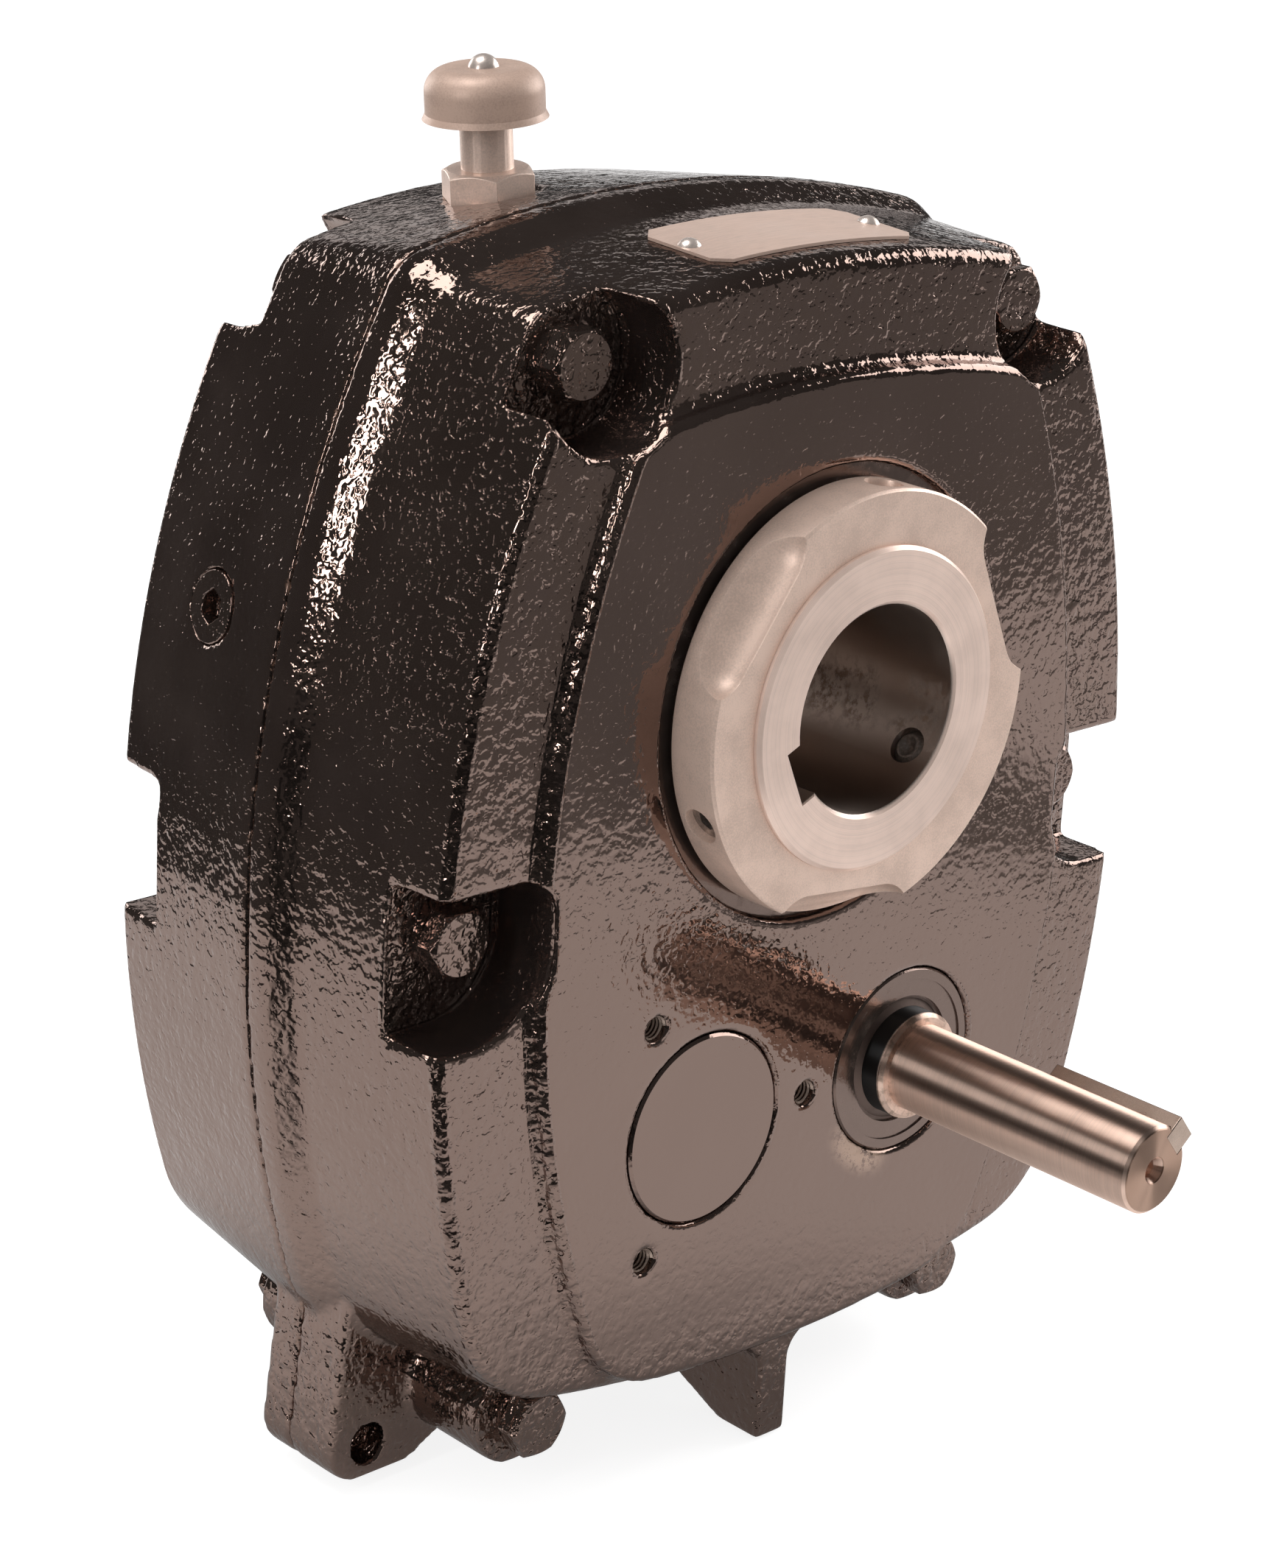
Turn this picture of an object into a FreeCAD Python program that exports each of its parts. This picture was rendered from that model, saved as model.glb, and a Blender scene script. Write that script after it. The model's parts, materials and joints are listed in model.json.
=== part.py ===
import FreeCAD, Part
import Sketcher
import math
import os
from types import SimpleNamespace

# Shaft mount reducer: a two-half cast casing round a hollow output hub,
# with a layshaft and an input shaft side by side below it.
# Frame: the output axis is Y, the front of the casing faces -Y, +Z is up,
# and the joint of the two halves is y = 0.

# Driving dimensions, in millimetres, degrees or counts
SIZES = {
    # casing form; the clearances are between the gears and the inside of the wall
    "rear_gap": 10.75,
    "face_step": 4.5,
    "side_clearance": 19.0,
    "side_radius": 330.0,
    "side_drop": 56.0,
    "crown_clearance": 6.3,
    "crown_radius": 350.0,
    "base_clearance": 4.17,
    "base_radius": 410.0,
    "top_corner": 9.0,
    "low_corner": 36.0,
    "front_draft": 4.0,
    "rim_growth": 8.0,
    "rim_thickness": 6.5,
    "cove_length": 10.0,
    "cove_angle": 26.0,
    "shoulder_round": 4.0,
    "side_wall": 10.0,
    "hollow_corner": 12.0,
    "end_wall": 14.0,
    "housing_wall": 8.0,
    # raised machined face at each end, set in from the casing's outline
    "face_side_inset": 28.5,
    "face_side_radius": 301.0,
    "face_side_drop": 48.0,
    "face_crown_inset": 28.7,
    "face_crown_radius": 335.0,
    "face_base_inset": 2.0,
    "face_corner": 10.0,
    "face_low_corner": 30.0,
    "face_round": 1.5,
    # casing bolts and their pockets, set in from the casing's outline
    "upper_bolt_side": 48.0,
    "upper_bolt_top": 21.3,
    "middle_bolt_side": 16.0,
    "middle_bolt_drop": 48.0,
    "lower_bolt_side": 49.0,
    "lower_bolt_below": 5.5,
    "bolt_diameter": 10.0,
    "bolt_clearance": 0.5,
    "head_clearance": 1.2,
    "bolt_flats": 17.0,
    "bolt_head": 6.5,
    "nut_height": 8.4,
    "bolt_end": 3.0,
    "washer_diameter": 18.0,
    "washer_thickness": 2.5,
    "washer_split": 1.4,
    "bolt_seat": 46.0,
    "pocket_radius": 20.0,
    "slot_reach": 17.0,
    "slot_above": 16.5,
    "slot_below": 23.0,
    "slot_top_corner": 7.0,
    "slot_low_corner": 22.0,
    "column_radius": 14.0,
    "boss_radius": 14.5,
    # torque arm lugs and the rib below the casing
    "lug_hole": 11.0,
    "lug_hole_side": 21.5,
    "lug_hole_below": 17.8,
    "front_lug": 18.0,
    "rear_lug": 11.5,
    "lug_side": 14.0,
    "lug_foot": 9.7,
    "lug_corner": 10.0,
    "rib_width": 11.0,
    "rib_height": 30.0,
    "rib_flare": 8.0,
    "rib_foot": 15.0,
    # output hub and what is on it
    "hub_bore": 55.0,
    "hub_wall": 15.0,
    "hub_projection": 16.0,
    "hub_step": 5.5,
    "hub_flange_step": 7.0,
    "hub_flange_width": 5.0,
    "hub_key_width": 16.0,
    "hub_key_depth": 4.3,
    "hub_angle": 204.0,
    "collar_gap": 3.35,
    "collar_width": 15.0,
    "collar_inset": 2.0,
    "scallop_radius": 12.0,
    "scallop_outset": 3.35,
    "scallop_run": 28.0,
    "scallop_lift": 1.0,
    "grub_diameter": 10.0,
    "grub_depth": 2.6,
    "grub_socket": 5.0,
    "grub_point": 6.6,
    "grub_point_length": 1.6,
    "grub_cup": 5.6,
    "grub_cup_depth": 1.8,
    # hub seals and bearings
    "hub_seal_section": 17.5,
    "hub_seal_width": 12.0,
    "hub_seal_inset": 3.0,
    "seal_shoulder": 2.5,
    "hub_bearing_section": 17.5,
    "hub_bearing_width": 18.0,
    "hub_roller": 6.2,
    "hub_rollers": 18,
    "shaft_roller": 4.6,
    "shaft_rollers": 9,
    "bore_chamfer": 0.7,
    # layshaft and input shaft
    "lay_journal": 25.0,
    "lay_bearing_section": 13.5,
    "lay_bearing_width": 15.0,
    "disc_thickness": 7.0,
    "lay_step": 4.5,
    "lay_gear_step": 1.0,
    "input_diameter": 24.0,
    "input_projection": 87.9,
    "input_collar_step": 3.0,
    "input_collar_projection": 6.0,
    "input_bearing_section": 12.5,
    "input_bearing_width": 13.0,
    "input_seal_section": 11.0,
    "input_seal_width": 7.0,
    "input_key_width": 8.0,
    "input_key_height": 7.0,
    "input_key_depth": 4.0,
    "input_key_length": 42.0,
    "input_keyway_length": 62.0,
    "input_key_angle": 39.0,
    "centre_drill": 5.0,
    "shaft_chamfer": 1.0,
    "backstop_circle": 75.0,
    "backstop_hole": 6.8,
    "backstop_depth": 16.0,
    # gear train
    "first_module": 2.0,
    "first_pinion_teeth": 17,
    "first_gear_teeth": 58,
    "first_gear_width": 20.0,
    "second_module": 3.0,
    "second_pinion_teeth": 16,
    "second_gear_teeth": 62,
    "second_gear_width": 28.0,
    "pinion_overhang": 3.0,
    "pinion_relief": 0.5,
    "gear_gap": 3.5,
    "backlash": 0.4,
    "gear_key_width": 10.0,
    "gear_key_height": 8.0,
    # vent, plugs, nameplate and dowels
    "vent_x": 34.0,
    "vent_y": 31.0,
    "vent_flats": 22.0,
    "vent_hex": 8.0,
    "vent_stem": 13.7,
    "vent_stem_length": 13.0,
    "vent_spigot": 16.0,
    "vent_spigot_length": 9.0,
    "vent_cap": 32.6,
    "vent_cap_height": 13.0,
    "vent_cap_wall": 1.6,
    "vent_cap_round": 6.0,
    "vent_rivet": 8.0,
    "vent_rivet_height": 3.2,
    "plug_diameter": 19.0,
    "plug_length": 9.0,
    "plug_socket": 8.0,
    "plug_y": 32.0,
    "plug_z": 17.0,
    "drain_x": 30.0,
    "plate_width": 70.0,
    "plate_start": 26.0,
    "plate_length": 30.0,
    "plate_thickness": 0.8,
    "plate_corner": 4.0,
    "plate_rivet": 6.0,
    "plate_rivet_height": 1.7,
    "plate_rivet_inset": 3.5,
    "dowel_diameter": 8.0,
    "dowel_length": 20.0,
    "dowel_inset": 7.0,
    "dowel_z": 5.0,
    # fits
    "seat_clearance": 0.02,
    "running_clearance": 0.06,
    "screw_clearance": 0.2,
}

HALF_TURN = 180
Y_AXIS = FreeCAD.Vector(0, 1, 0)
UPRIGHT = FreeCAD.Rotation()
ALONG_Y = FreeCAD.Rotation(FreeCAD.Vector(1, 0, 0), -90)


class Size:
    """A value together with the sheet expression that it comes from."""

    def __init__(self, value, text=None):
        self.value = float(value)
        self.text = text if text is not None else repr(float(value))

    def join(self, other, sign, result):
        return Size(result, f"({self.text} {sign} {as_size(other).text})")

    def __add__(self, other):
        return self.join(other, "+", self.value + as_size(other).value)

    def __sub__(self, other):
        return self.join(other, "-", self.value - as_size(other).value)

    def __mul__(self, other):
        return self.join(other, "*", self.value * as_size(other).value)

    def __truediv__(self, other):
        return self.join(other, "/", self.value / as_size(other).value)

    def __neg__(self):
        return Size(-self.value, f"(0 - {self.text})")

    def __radd__(self, other):
        return as_size(other) + self

    def __rsub__(self, other):
        return as_size(other) - self

    def __rmul__(self, other):
        return as_size(other) * self


def as_size(value):
    return value if isinstance(value, Size) else Size(value)


def root(size):
    return Size(math.sqrt(size.value), f"sqrt({size.text})")


def steepness(slope):
    """The angle of a slope, in degrees."""
    return Size(math.degrees(math.atan(slope.value)), f"atan({slope.text})")


# Document and sheet

doc = FreeCAD.newDocument("shaft_mount_reducer")
sheet = doc.addObject("Spreadsheet::Sheet", "sizes")
for row, (alias, number) in enumerate(SIZES.items(), start=1):
    sheet.set(f"A{row}", alias)
    sheet.set(f"B{row}", str(number))
    sheet.setAlias(f"B{row}", alias)
doc.recompute()
d = SimpleNamespace(**{alias: Size(sheet.get(alias), f"sizes.{alias}") for alias in SIZES})

nodes = {}


def node(label, item):
    """Keeps an object as a sub-part under its own label."""
    item.Label = label
    nodes[label] = item
    return item


def bind(item, name, size):
    size = as_size(size)
    setattr(item, name, size.value)
    item.setExpression(name, size.text)


def place(item, x=0, y=0, z=0, turn=UPRIGHT):
    """Puts an object at a point that follows the sheet, turned by a fixed rotation."""
    point = [as_size(value) for value in (x, y, z)]
    item.Placement = FreeCAD.Placement(FreeCAD.Vector(*[p.value for p in point]), turn)
    for letter, size in zip("xyz", point):
        item.setExpression(f"Placement.Base.{letter}", size.text)
    return item


# Sketch helpers

def new_body(name):
    return doc.addObject("PartDesign::Body", name)


def new_sketch(body, name, role="XZ_Plane", offset=0):
    offset = as_size(offset)
    sketch = body.newObject("Sketcher::SketchObject", name)
    plane = [item for item in body.Origin.OriginFeatures if item.Role == role][0]
    sketch.AttachmentSupport = [(plane, "")]
    sketch.MapMode = "FlatFace"
    lift = FreeCAD.Vector(0, 0, offset.value)
    sketch.AttachmentOffset = FreeCAD.Placement(lift, UPRIGHT)
    sketch.setExpression("AttachmentOffset.Base.z", offset.text)
    return sketch


def hold(sketch, kind, size, *where):
    """Adds a dimension to a sketch and ties it to the sheet."""
    size = as_size(size)
    index = sketch.addConstraint(Sketcher.Constraint(kind, *where, size.value))
    name = f"{kind}{index}"
    sketch.renameConstraint(index, name)
    sketch.setExpression(f"Constraints.{name}", size.text)


def hold_point(sketch, geometry, position, u, v):
    hold(sketch, "DistanceX", u, -1, 1, geometry, position)
    hold(sketch, "DistanceY", v, -1, 1, geometry, position)


def flat(u, v):
    return FreeCAD.Vector(as_size(u).value, as_size(v).value, 0)


def add_circle(sketch, u, v, radius):
    circle = Part.Circle(flat(u, v), FreeCAD.Vector(0, 0, 1), as_size(radius).value)
    index = sketch.addGeometry(circle, False)
    hold_point(sketch, index, 3, u, v)
    hold(sketch, "Radius", radius, index)


def add_polygon(sketch, points):
    """A closed chain of straight lines whose corners follow the sheet."""
    first = sketch.GeometryCount
    count = len(points)
    for index, (u, v) in enumerate(points):
        following = points[(index + 1) % count]
        sketch.addGeometry(Part.LineSegment(flat(u, v), flat(*following)), False)
    for index, (u, v) in enumerate(points):
        before = first + (index - 1) % count
        sketch.addConstraint(Sketcher.Constraint("Coincident", before, 2, first + index, 1))
        hold_point(sketch, first + index, 1, u, v)


def add_rounded(sketch, corners):
    """A closed outline of straight lines; each corner is (u, v, radius), and radius 0 leaves it sharp."""
    count = len(corners)
    points = [flat(u, v) for u, v, radius in corners]
    arrivals, departures, centres, left_turns = [], [], [], []
    for index, point in enumerate(points):
        radius = as_size(corners[index][2]).value
        back = (points[index - 1] - point).normalize()
        ahead = (points[(index + 1) % count] - point).normalize()
        half_angle = back.getAngle(ahead) / 2
        inset = radius / math.tan(half_angle)
        arrivals.append(point + back * inset)
        departures.append(point + ahead * inset)
        centres.append(point + (back + ahead).normalize() * (radius / math.sin(half_angle)))
        left_turns.append(ahead.cross(back).z > 0)
    lines = [
        sketch.addGeometry(Part.LineSegment(departures[index], arrivals[(index + 1) % count]), False)
        for index in range(count)
    ]
    for index, (u, v, radius) in enumerate(corners):
        before, after = lines[index - 1], lines[index]
        if as_size(radius).value == 0:
            sketch.addConstraint(Sketcher.Constraint("Coincident", before, 2, after, 1))
            hold_point(sketch, after, 1, u, v)
            continue
        ends = [arrivals[index], departures[index]]
        first, last = (1, 2) if left_turns[index] else (2, 1)
        start, end = ends if left_turns[index] else reversed(ends)
        arc = add_arc(sketch, centres[index], radius, start, end)
        corner = sketch.addGeometry(Part.Point(points[index]), True)
        hold_point(sketch, corner, 1, u, v)
        hold(sketch, "Radius", radius, arc)
        sketch.addConstraint(Sketcher.Constraint("PointOnObject", corner, 1, before))
        sketch.addConstraint(Sketcher.Constraint("PointOnObject", corner, 1, after))
        sketch.addConstraint(Sketcher.Constraint("Tangent", before, 2, arc, first))
        sketch.addConstraint(Sketcher.Constraint("Tangent", arc, last, after, 1))


def add_arc(sketch, centre, radius, start, end):
    middle = flat(centre[0], centre[1])
    circle = Part.Circle(middle, FreeCAD.Vector(0, 0, 1), as_size(radius).value)
    angles = [math.atan2(point[1] - middle.y, point[0] - middle.x) for point in (start, end)]
    if angles[1] < angles[0]:
        angles[1] += 2 * math.pi
    return sketch.addGeometry(Part.ArcOfCircle(circle, *angles), False)


# Feature helpers

def pad(body, sketch, length, reverse=False, taper=0):
    feature = body.newObject("PartDesign::Pad", sketch.Name + "_pad")
    feature.Profile = sketch
    bind(feature, "Length", length)
    feature.Reversed = reverse
    if as_size(taper).value != 0:
        bind(feature, "TaperAngle", taper)
    doc.recompute()
    return feature


def pocket(body, sketch, length, reverse=False, both_ways=False):
    before = body.Shape.Volume
    feature = body.newObject("PartDesign::Pocket", sketch.Name + "_pocket")
    feature.Profile = sketch
    bind(feature, "Length", length)
    feature.Reversed = reverse
    feature.Midplane = both_ways
    doc.recompute()
    if body.Shape.Volume >= before:
        raise RuntimeError(f"{feature.Name} removes nothing")
    return feature


def round_edges(body, radius, wanted):
    """Rounds the edges of a body's last feature that the test picks."""
    base = body.Tip
    names = [f"Edge{i}" for i, edge in enumerate(base.Shape.Edges, start=1) if wanted(edge)]
    feature = body.newObject("PartDesign::Fillet", base.Name + "_round")
    feature.Base = (base, names)
    bind(feature, "Radius", radius)
    doc.recompute()
    return feature


def on_plane(y):
    """A test for edges that lie in the plane at this distance along the output axis."""
    def test(edge):
        box = edge.BoundBox
        return abs(box.YMin - y) < 0.01 and abs(box.YMax - y) < 0.01
    return test


def turned(name, profile):
    """A piece turned about its own Y axis; the profile is a list of (radius, y)."""
    body = new_body(name)
    sketch = new_sketch(body, name + "_profile", "XY_Plane")
    add_polygon(sketch, profile)
    feature = body.newObject("PartDesign::Revolution", name + "_turned")
    feature.Profile = sketch
    feature.ReferenceAxis = (sketch, ["V_Axis"])
    feature.Angle = 360
    doc.recompute()
    return body


def ring(name, inner, outer, start, end, chamfer=0):
    """A turned ring with its outer corners broken."""
    if as_size(chamfer).value == 0:
        return turned(name, [(inner, start), (outer, start), (outer, end), (inner, end)])
    profile = [
        (inner, start),
        (outer - chamfer, start),
        (outer, start + chamfer),
        (outer, end - chamfer),
        (outer - chamfer, end),
        (inner, end),
    ]
    return turned(name, profile)


def cylinder(name, radius, length, x=0, y=0, z=0, turn=ALONG_Y):
    item = doc.addObject("Part::Cylinder", name)
    bind(item, "Radius", radius)
    bind(item, "Height", length)
    return place(item, x, y, z, turn)


def block(name, length, width, height, x=0, y=0, z=0, turn=UPRIGHT):
    item = doc.addObject("Part::Box", name)
    bind(item, "Length", length)
    bind(item, "Width", width)
    bind(item, "Height", height)
    return place(item, x, y, z, turn)


def cone(name, start_radius, end_radius, length):
    """A cone that stands on the origin."""
    item = doc.addObject("Part::Cone", name)
    bind(item, "Radius1", start_radius)
    bind(item, "Radius2", end_radius)
    bind(item, "Height", length)
    return item


def dome(name, radius, height, z):
    """The domed head of a rivet: the cap of a ball, flat below, standing at this height."""
    ball = (radius * radius + height * height) / (2 * height)
    item = doc.addObject("Part::Sphere", name)
    bind(item, "Radius", ball)
    rise = 1 - height / ball
    bind(item, "Angle1", Size(math.degrees(math.asin(rise.value)), f"asin({rise.text})"))
    return place(item, 0, 0, z + height - ball)


def fuse(name, items):
    item = doc.addObject("Part::MultiFuse", name)
    item.Shapes = items
    doc.recompute()
    return item


def cut(name, base, tool):
    item = doc.addObject("Part::Cut", name)
    item.Base = base
    item.Tool = tool
    doc.recompute()
    return item


def common(name, first, second):
    item = doc.addObject("Part::Common", name)
    item.Base = first
    item.Tool = second
    doc.recompute()
    return item


def spread(label, master, places):
    """A node made of copies of one piece; each place is (x, y, z, rotation)."""
    copies = []
    for index, (x, y, z, turn) in enumerate(places, start=1):
        copy = doc.addObject("App::Link", f"{label}_{index}")
        copy.LinkedObject = master
        copies.append(place(copy, x, y, z, turn))
    group = doc.addObject("Part::Compound", label)
    group.Links = copies
    doc.recompute()
    return node(label, group)


def about_y(angle):
    """A turn seen from the front, counter-clockwise from +X towards +Z."""
    return FreeCAD.Rotation(Y_AXIS, -angle)


# Shaft places and gear radii, from the pitch circles of the two gear pairs

PRESSURE_ANGLE = math.radians(20)
ADDENDUM = 1.0
DEDENDUM = 1.25

first_distance = d.first_module * (d.first_pinion_teeth + d.first_gear_teeth) / 2
second_distance = d.second_module * (d.second_pinion_teeth + d.second_gear_teeth) / 2
axle_x = first_distance / 2
axle_z = -root(second_distance * second_distance - axle_x * axle_x)
first_gear_tip = d.first_module * (d.first_gear_teeth / 2 + ADDENDUM)
second_gear_tip = d.second_module * (d.second_gear_teeth / 2 + ADDENDUM)
first_pinion_root = d.first_module * (d.first_pinion_teeth / 2 - DEDENDUM)

# Radii round the shafts

hub_radius = d.hub_bore / 2 + d.hub_wall
hub_middle = hub_radius + d.hub_step
hub_flange = hub_middle + d.hub_flange_step
hub_seal_radius = hub_radius + d.hub_seal_section
hub_bearing_radius = hub_radius + d.hub_bearing_section
lay_bearing_radius = d.lay_journal / 2 + d.lay_bearing_section
lay_shoulder = d.lay_journal / 2 + d.lay_step
lay_gear_seat = lay_shoulder + d.lay_gear_step
input_collar = d.input_diameter / 2 + d.input_collar_step
input_bearing_radius = input_collar + d.input_bearing_section
input_seal_radius = input_collar + d.input_seal_section

# Outline of the casing, round the gears

side_half_width = second_gear_tip + d.side_clearance + d.side_wall
crown_height = second_gear_tip + d.crown_clearance + d.side_wall
base_drop = first_gear_tip - axle_z + d.base_clearance + d.side_wall
upper_bolt_x = side_half_width - d.upper_bolt_side
upper_bolt_z = crown_height - d.upper_bolt_top
middle_bolt_x = side_half_width - d.middle_bolt_side
lower_bolt_x = side_half_width - d.lower_bolt_side
lower_bolt_drop = base_drop + d.lower_bolt_below
lug_hole_x = side_half_width - d.lug_hole_side
lug_hole_drop = base_drop + d.lug_hole_below
rib_drop = base_drop + d.rib_height

# Distances along the output axis that several pieces share

gear_stack = d.gear_gap * 1.5 + d.first_gear_width + d.hub_flange_width + d.second_gear_width + d.rear_gap
half = gear_stack / 2 + d.hub_bearing_width + d.seal_shoulder + d.hub_seal_width + d.hub_seal_inset
shoulder = half - d.face_step
hub_seal_end = half - d.hub_seal_inset
hub_seal_start = hub_seal_end - d.hub_seal_width
hub_bearing_end = hub_seal_start - d.seal_shoulder
hub_bearing_start = hub_bearing_end - d.hub_bearing_width
disc_start = half - d.disc_thickness
lay_bearing_end = disc_start - d.running_clearance
lay_bearing_start = lay_bearing_end - d.lay_bearing_width
input_seal_start = half - d.input_seal_width
input_bearing_end = input_seal_start - d.seal_shoulder
input_bearing_start = input_bearing_end - d.input_bearing_width
first_gear_start = d.gear_gap - hub_bearing_start
first_gear_end = first_gear_start + d.first_gear_width
flange_start = first_gear_end + d.gear_gap / 2
second_gear_start = flange_start + d.hub_flange_width
second_gear_end = second_gear_start + d.second_gear_width
rear_slope = d.rim_growth / shoulder
input_reach = half + d.input_projection
input_collar_reach = half + d.input_collar_projection

bolt_places = [
    (sign * x, z)
    for sign in (-1, 1)
    for x, z in (
        (upper_bolt_x, upper_bolt_z),
        (middle_bolt_x, -d.middle_bolt_drop),
        (lower_bolt_x, -lower_bolt_drop),
    )
]


# Casing halves

wall_form = SimpleNamespace(
    half_width=side_half_width,
    side_radius=d.side_radius,
    side_z=-d.side_drop,
    crown=crown_height,
    crown_radius=d.crown_radius,
    base=-base_drop,
    base_radius=d.base_radius,
    top_corner=d.top_corner,
    low_corner=d.low_corner,
)
face_form = SimpleNamespace(
    half_width=side_half_width - d.face_side_inset,
    side_radius=d.face_side_radius,
    side_z=-d.face_side_drop,
    crown=crown_height - d.face_crown_inset,
    crown_radius=d.face_crown_radius,
    base=d.face_base_inset - base_drop,
    base_radius=d.base_radius,
    top_corner=d.face_corner,
    low_corner=d.face_low_corner,
)

hollow_form = SimpleNamespace(
    half_width=side_half_width - d.side_wall,
    side_radius=d.side_radius - d.side_wall,
    side_z=-d.side_drop,
    crown=crown_height - d.side_wall,
    crown_radius=d.crown_radius - d.side_wall,
    base=d.side_wall - base_drop,
    base_radius=d.base_radius - d.side_wall,
    top_corner=d.hollow_corner,
    low_corner=d.hollow_corner * 2,
)


def meeting(first, second, side):
    """Where two circles (x, z, radius) cross; side picks which of the two crossings."""
    dx, dz = second[0] - first[0], second[1] - first[1]
    apart = math.hypot(dx, dz)
    along = (first[2] ** 2 - second[2] ** 2 + apart ** 2) / (2 * apart)
    across = side * math.sqrt(first[2] ** 2 - along ** 2)
    return (first[0] + (along * dx - across * dz) / apart, first[1] + (along * dz + across * dx) / apart)


def add_outline(sketch, form, grow=0):
    """The casing's outline: crown, sides and base as large arcs, joined by tangent corner arcs."""
    side_x = form.half_width - form.side_radius
    top = (as_size(0), form.crown - form.crown_radius, form.crown_radius + grow)
    right = (side_x, form.side_z, form.side_radius + grow)
    left = (-side_x, form.side_z, form.side_radius + grow)
    low = (as_size(0), form.base + form.base_radius, form.base_radius + grow)
    top_round = form.top_corner + grow
    low_round = form.low_corner + grow
    large = [right, top, left, low]
    rounds = [top_round, top_round, low_round, low_round]

    plain = [tuple(part.value for part in arc) for arc in large]
    corners = []
    for index, radius in enumerate(rounds):
        first, second = plain[index], plain[(index + 1) % 4]
        inner = [(arc[0], arc[1], arc[2] - radius.value) for arc in (first, second)]
        options = [meeting(inner[0], inner[1], side) for side in (-1, 1)]
        wanted = (1 if index in (0, 3) else -1, 1 if index in (0, 1) else -1)
        corners.append(max(options, key=lambda p: p[0] * wanted[0] + p[1] * wanted[1]))

    def touch(arc, corner):
        stretch = arc[2] / math.hypot(corner[0] - arc[0], corner[1] - arc[1])
        return (arc[0] + (corner[0] - arc[0]) * stretch, arc[1] + (corner[1] - arc[1]) * stretch)

    first_index = sketch.GeometryCount
    for index in range(4):
        arc, following = plain[index], plain[(index + 1) % 4]
        before, after = corners[index - 1], corners[index]
        big = add_arc(sketch, large[index][:2], large[index][2], touch(arc, before), touch(arc, after))
        hold(sketch, "Radius", large[index][2], big)
        hold_point(sketch, big, 3, large[index][0], large[index][1])
        small = add_arc(sketch, after, rounds[index], touch(arc, after), touch(following, after))
        hold(sketch, "Radius", rounds[index], small)
    for index in range(8):
        here, following = first_index + index, first_index + (index + 1) % 8
        sketch.addConstraint(Sketcher.Constraint("Tangent", here, 2, following, 1))


def casting(name, side):
    """The outside of one half as cast; side is -1 for the front half and 1 for the rear half."""
    front = side < 0
    lug_thickness = d.front_lug if front else d.rear_lug
    body = new_body(name + "_casting")

    # drafted wall from the shoulder back to the joint
    sketch = new_sketch(body, name + "_wall", offset=-side * shoulder)
    add_outline(sketch, wall_form)
    pad(body, sketch, shoulder, reverse=front, taper=d.front_draft if front else steepness(rear_slope))
    round_edges(body, d.shoulder_round, on_plane(side * shoulder.value))

    # the rear wall slopes out to the joint; the front half has a rim there, with a cove below it
    if front:
        sketch = new_sketch(body, name + "_rim")
        add_outline(sketch, wall_form, d.rim_growth)
        pad(body, sketch, d.rim_thickness)
        sketch = new_sketch(body, name + "_cove", offset=d.rim_thickness)
        add_outline(sketch, wall_form, d.rim_growth)
        pad(body, sketch, d.cove_length, taper=-d.cove_angle)

    # raised face, rooted a little inside the shoulder
    rooting = d.shoulder_round * 1.5
    sketch = new_sketch(body, name + "_face", offset=-side * (shoulder - rooting))
    add_outline(sketch, face_form)
    pad(body, sketch, d.face_step + rooting, reverse=not front)
    round_edges(body, d.face_round, on_plane(side * half.value))

    # bosses of the lower bolts, torque arm lugs and the rib below
    sketch = new_sketch(body, name + "_bosses")
    for sign in (-1, 1):
        add_circle(sketch, sign * lower_bolt_x, -lower_bolt_drop, d.boss_radius)
    pad(body, sketch, d.bolt_seat, reverse=not front)
    for sign, hand in ((-1, "left"), (1, "right")):
        sketch = new_sketch(body, f"{name}_{hand}_lug")
        add_lug(sketch, sign)
        pad(body, sketch, lug_thickness, reverse=not front)
    sketch = new_sketch(body, name + "_rib")
    add_rib(sketch)
    pad(body, sketch, shoulder, reverse=not front)
    sketch = new_sketch(body, name + "_rib_slope", "YZ_Plane")
    foot_end = side * (shoulder - d.rib_foot)
    add_polygon(sketch, [
        (foot_end, -rib_drop),
        (0, -(base_drop + d.rim_growth)),
        (0, -(rib_drop + d.rib_flare)),
        (foot_end, -(rib_drop + d.rib_flare)),
    ])
    pocket(body, sketch, 2 * d.rib_width, both_ways=True)

    # pockets of the upper and middle bolts
    sketch = new_sketch(body, name + "_pockets", offset=-side * (half + d.face_step))
    for sign in (-1, 1):
        add_circle(sketch, sign * upper_bolt_x, upper_bolt_z, d.pocket_radius)
        add_slot(sketch, sign)
    pocket(body, sketch, half + d.face_step - d.bolt_seat, reverse=not front)
    return body


def add_lug(sketch, sign):
    """A torque arm lug: from the casing out to its rounded foot, and back up to the bolt boss."""
    outer = lug_hole_x + d.lug_side
    foot = -(lug_hole_drop + d.lug_foot)
    corners = [
        (lower_bolt_x, d.side_wall - base_drop, 0),
        (lower_bolt_x, -(lower_bolt_drop + d.boss_radius), 0),
        (lug_hole_x - d.lug_side, foot, d.lug_corner),
        (outer, foot, d.lug_corner),
        (outer - d.lug_side / 2, d.low_corner - base_drop, 0),
    ]
    add_rounded(sketch, [(sign * u, v, radius) for u, v, radius in corners])


def add_rib(sketch):
    """The upright rib under the casing, rounded into the base on both sides."""
    width = d.rib_width / 2
    spread_out = width + d.rib_flare * 1.5
    top = d.side_wall / 2 - base_drop
    add_rounded(sketch, [
        (-spread_out, top, 0),
        (-spread_out, -base_drop, 0),
        (-width, -base_drop, d.rib_flare),
        (-width, -rib_drop, 0),
        (width, -rib_drop, 0),
        (width, -base_drop, d.rib_flare),
        (spread_out, -base_drop, 0),
        (spread_out, top, 0),
    ])


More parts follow.
